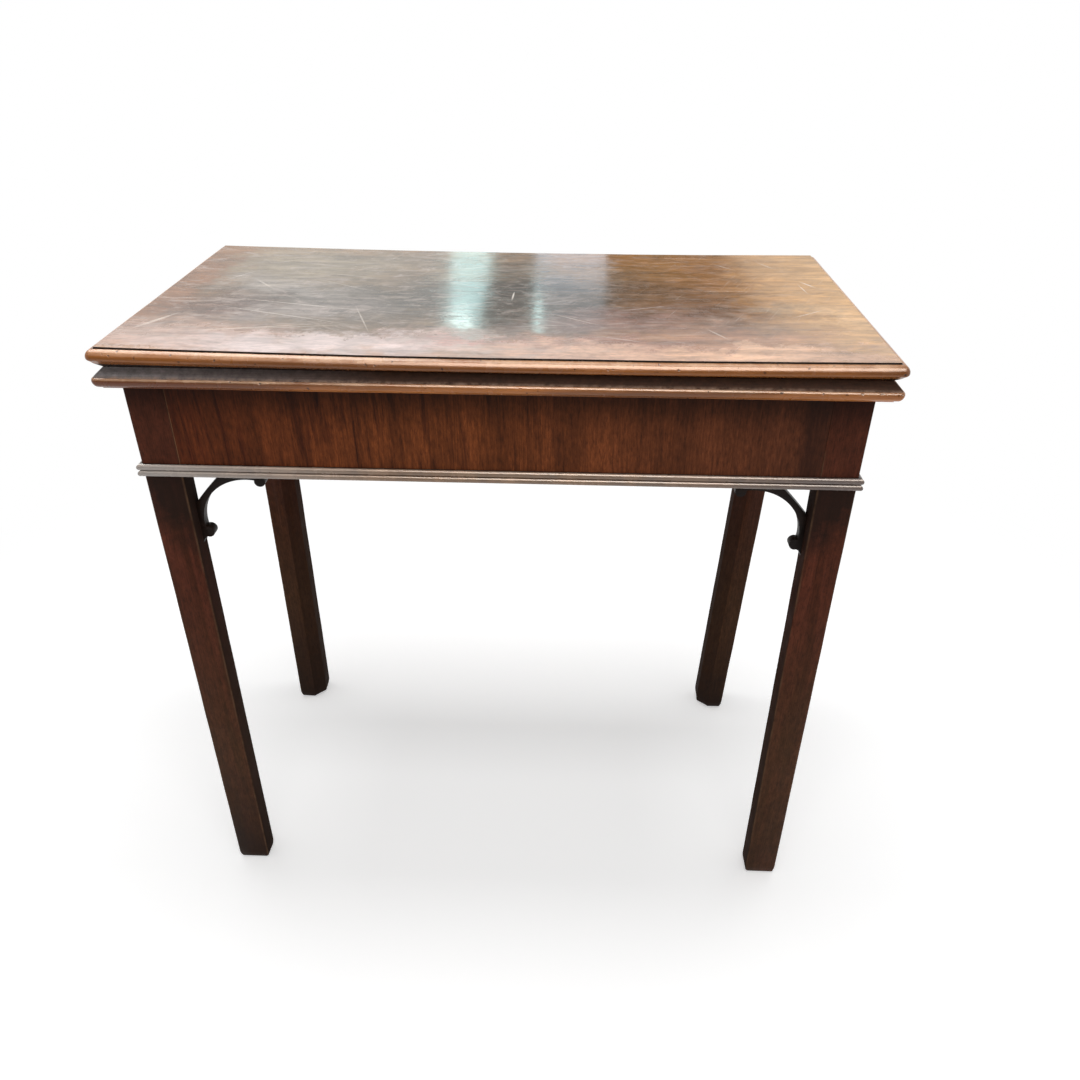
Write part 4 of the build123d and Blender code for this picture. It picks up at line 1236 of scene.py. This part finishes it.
GLINT_CARDS = (
    ("high_front_card", -0.55, 0.75, (-3.1, 1.9), (-1.0, 2.9), "#fff4e8", 18.0),
    ("right_front_card", 0.75, 2.0, (-3.0, 2.6), (-0.8, 2.9), "#fff4e8", 15.0),
    ("left_front_card", -2.2, -0.55, (-3.1, 1.9), (-0.5, 2.9), "#fff4e8", 2.5),
    ("left_ceiling_card", -2.6, -0.42, (-0.5, 2.9), (2.0, 2.9), "#fffdf8", 10.0),
    ("dim_room_card", -2.5, 2.5, (-2.6, 0.0), (-2.2, 1.9), "#c8b8a8", 0.25),
)

# Softboxes: name, place, width, depth and power

SOFTBOXES = (
    ("front_softbox", (0.1, -1.0, 2.9), 1.0, 0.4, 12),
    ("overhead_softbox", (0, 0.15, 2.6), 2.0, 0.7, 26),
)
LIGHT_AIM = Vector((0, 0, 0.6))
FLOOR_REACH = 8

# Camera fitted to the photograph: picture width and focal length in pixels, shifts as shares
# of the width, turns in degrees

PHOTO_WIDTH = 1080
FOCAL_PIXELS = 897.6
SHIFT_X, SHIFT_Y = -0.00088, -0.01315
CAMERA_X, CAMERA_Y = 65.8 * MM, -966.5 * MM
CAMERA_TURN, CAMERA_PITCH, CAMERA_ROLL = 1.547, 31.327, 0.445


def flat_object(name, corners, material):
    """Single four-cornered face that belongs to the stage."""
    mesh = bpy.data.meshes.new(name)
    mesh.from_pydata(corners, [], [(0, 1, 2, 3)])
    mesh.materials.append(material)
    made = bpy.data.objects.new(name, mesh)
    bpy.context.scene.collection.objects.link(made)
    return made


def reflection_card(name, corners, code, strength):
    """Glowing card that shows in reflections and nowhere else."""
    material, tree = new_material(name + "_glow")
    light = add(tree, "ShaderNodeEmission", {"Color": tone(code), "Strength": strength})
    add(tree, "ShaderNodeOutputMaterial", {"Surface": light})
    card = flat_object(name, corners, material)
    card.visible_camera = False
    card.visible_diffuse = False
    card.visible_shadow = False
    card.visible_transmission = False


def seen_or_mirrored(tree):
    """1 for what the camera sees by itself or in a reflection."""
    camera_ray = add(tree, "ShaderNodeLightPath", {}, out=0)
    glossy_ray = add(tree, "ShaderNodeLightPath", {}, out=3)
    return add(tree, "ShaderNodeMath", {0: camera_ray, 1: glossy_ray}, operation="MAXIMUM")


def studio_floor():
    """White paper: it takes the object's soft shadow near it, and is plain white further off."""
    material, tree = new_material("white_paper_floor")
    point = add(tree, "ShaderNodeTexCoord", {}, out=OBJECT_POINT)
    away = add(tree, "ShaderNodeVectorMath", {0: point}, out=1, operation="LENGTH")
    far = add(tree, "ShaderNodeMapRange", {"Value": away, "From Min": 0.6, "From Max": 1.3},
              interpolation_type="SMOOTHSTEP")
    paper = add(tree, "ShaderNodeBsdfDiffuse", {"Color": tone("#f0f0f0")})
    lift = add(tree, "ShaderNodeEmission", {"Color": tone("#ffffff"), "Strength": 0.42})
    white = add(tree, "ShaderNodeEmission", {"Color": tone("#ffffff"), "Strength": 1.0})
    lit = add(tree, "ShaderNodeAddShader", {0: paper, 1: lift})
    shown = add(tree, "ShaderNodeMixShader", {0: far, 1: lit, 2: white})
    both = add(tree, "ShaderNodeMixShader", {0: seen_or_mirrored(tree), 1: paper, 2: shown})
    add(tree, "ShaderNodeOutputMaterial", {"Surface": both})
    return material


def studio_world(scene):
    """Even white surroundings: bright to the camera and in reflections, softer as light."""
    world = bpy.data.worlds.new("studio")
    scene.world = world
    world.use_nodes = True
    tree = world.node_tree
    tree.nodes.clear()
    soft = add(tree, "ShaderNodeBackground", {"Color": tone("#ffffff"), "Strength": 0.4})
    white = add(tree, "ShaderNodeBackground", {"Color": tone("#ffffff"), "Strength": 1.0})
    mixed = add(tree, "ShaderNodeMixShader", {0: seen_or_mirrored(tree), 1: soft, 2: white})
    add(tree, "ShaderNodeOutputWorld", {"Surface": mixed})


def photo_camera(scene):
    """Camera at the photograph's place: pitched down, with a small turn and roll."""
    data = bpy.data.cameras.new("camera")
    camera = bpy.data.objects.new("camera", data)
    scene.collection.objects.link(camera)
    scene.camera = camera
    data.lens = FOCAL_PIXELS * data.sensor_width / PHOTO_WIDTH
    data.shift_x = SHIFT_X
    data.shift_y = SHIFT_Y
    camera.location = (CAMERA_X, CAMERA_Y, scene.card_table_sizes.camera_height)
    turn = Matrix.Rotation(radians(CAMERA_TURN), 3, "Z")
    tilt = Matrix.Rotation(radians(90 - CAMERA_PITCH), 3, "X")
    roll = Matrix.Rotation(radians(CAMERA_ROLL), 3, "Z")
    camera.rotation_euler = (turn @ tilt @ roll).to_euler()


def softbox(scene, name, place, wide, deep, watts):
    """Rectangular lamp turned to the table."""
    data = bpy.data.lights.new(name, "AREA")
    data.shape = "RECTANGLE"
    data.size = wide
    data.size_y = deep
    data.energy = watts
    lamp = bpy.data.objects.new(name, data)
    lamp.location = place
    lamp.rotation_euler = (LIGHT_AIM - lamp.location).to_track_quat("-Z", "Y").to_euler()
    scene.collection.objects.link(lamp)


class CARDTABLE_OT_stage(bpy.types.Operator):
    """Set up the camera, the floor and the studio light"""
    bl_idname = "cardtable.stage"
    bl_label = "Stage"

    def execute(self, context):
        scene = context.scene
        scene.view_settings.view_transform = "Standard"
        photo_camera(scene)
        studio_world(scene)
        reach = FLOOR_REACH
        corners = [(-reach, -reach, 0), (reach, -reach, 0), (reach, reach, 0), (-reach, reach, 0)]
        flat_object("floor", corners, studio_floor())
        for index, (left, right, left_up, right_up, low, high, code, strength) in enumerate(CARDS):
            near = CARDS_Y - CARD_GAP * index
            corners = [(left, near, low), (right, near, low),
                       (right_up, near, high), (left_up, near, high)]
            reflection_card("reflection_card_%d" % index, corners, code, strength)
        for name, left, right, near, far, code, strength in GLINT_CARDS:
            corners = [(left, *near), (right, *near), (right, *far), (left, *far)]
            reflection_card(name, corners, code, strength)
        for values in SOFTBOXES:
            softbox(scene, *values)
        return {"FINISHED"}


OPERATORS = (CARDTABLE_OT_stage, CARDTABLE_OT_leaves, CARDTABLE_OT_baize, CARDTABLE_OT_frieze,
             CARDTABLE_OT_rails, CARDTABLE_OT_legs, CARDTABLE_OT_moulding, CARDTABLE_OT_brackets,
             CARDTABLE_OT_metal)


class CARDTABLE_PT_panel(bpy.types.Panel):
    """Sizes, colours and making steps of the card table"""
    bl_idname = "CARDTABLE_PT_panel"
    bl_label = "Card Table"
    bl_space_type = "VIEW_3D"
    bl_region_type = "UI"
    bl_category = "Card Table"

    def draw(self, context):
        for group in (context.scene.card_table_sizes, context.scene.card_table_colours):
            column = self.layout.column(align=True)
            for name in group.__annotations__:
                column.prop(group, name)
        for operator in OPERATORS:
            self.layout.operator(operator.bl_idname)


CLASSES = (CardTableColours, CardTableSizes, *OPERATORS, CARDTABLE_PT_panel)


def register():
    for each in CLASSES:
        bpy.utils.register_class(each)
    bpy.types.Scene.card_table_colours = PointerProperty(type=CardTableColours)
    bpy.types.Scene.card_table_sizes = PointerProperty(type=CardTableSizes)


def unregister():
    del bpy.types.Scene.card_table_sizes
    del bpy.types.Scene.card_table_colours
    for each in reversed(CLASSES):
        bpy.utils.unregister_class(each)


def main():
    register()
    bpy.ops.cardtable.stage()
    bpy.ops.cardtable.leaves()
    bpy.ops.cardtable.baize()
    bpy.ops.cardtable.frieze()
    bpy.ops.cardtable.rails()
    bpy.ops.cardtable.legs()
    bpy.ops.cardtable.moulding()
    bpy.ops.cardtable.brackets()
    bpy.ops.cardtable.metal()


if __name__ == "__main__":
    main()
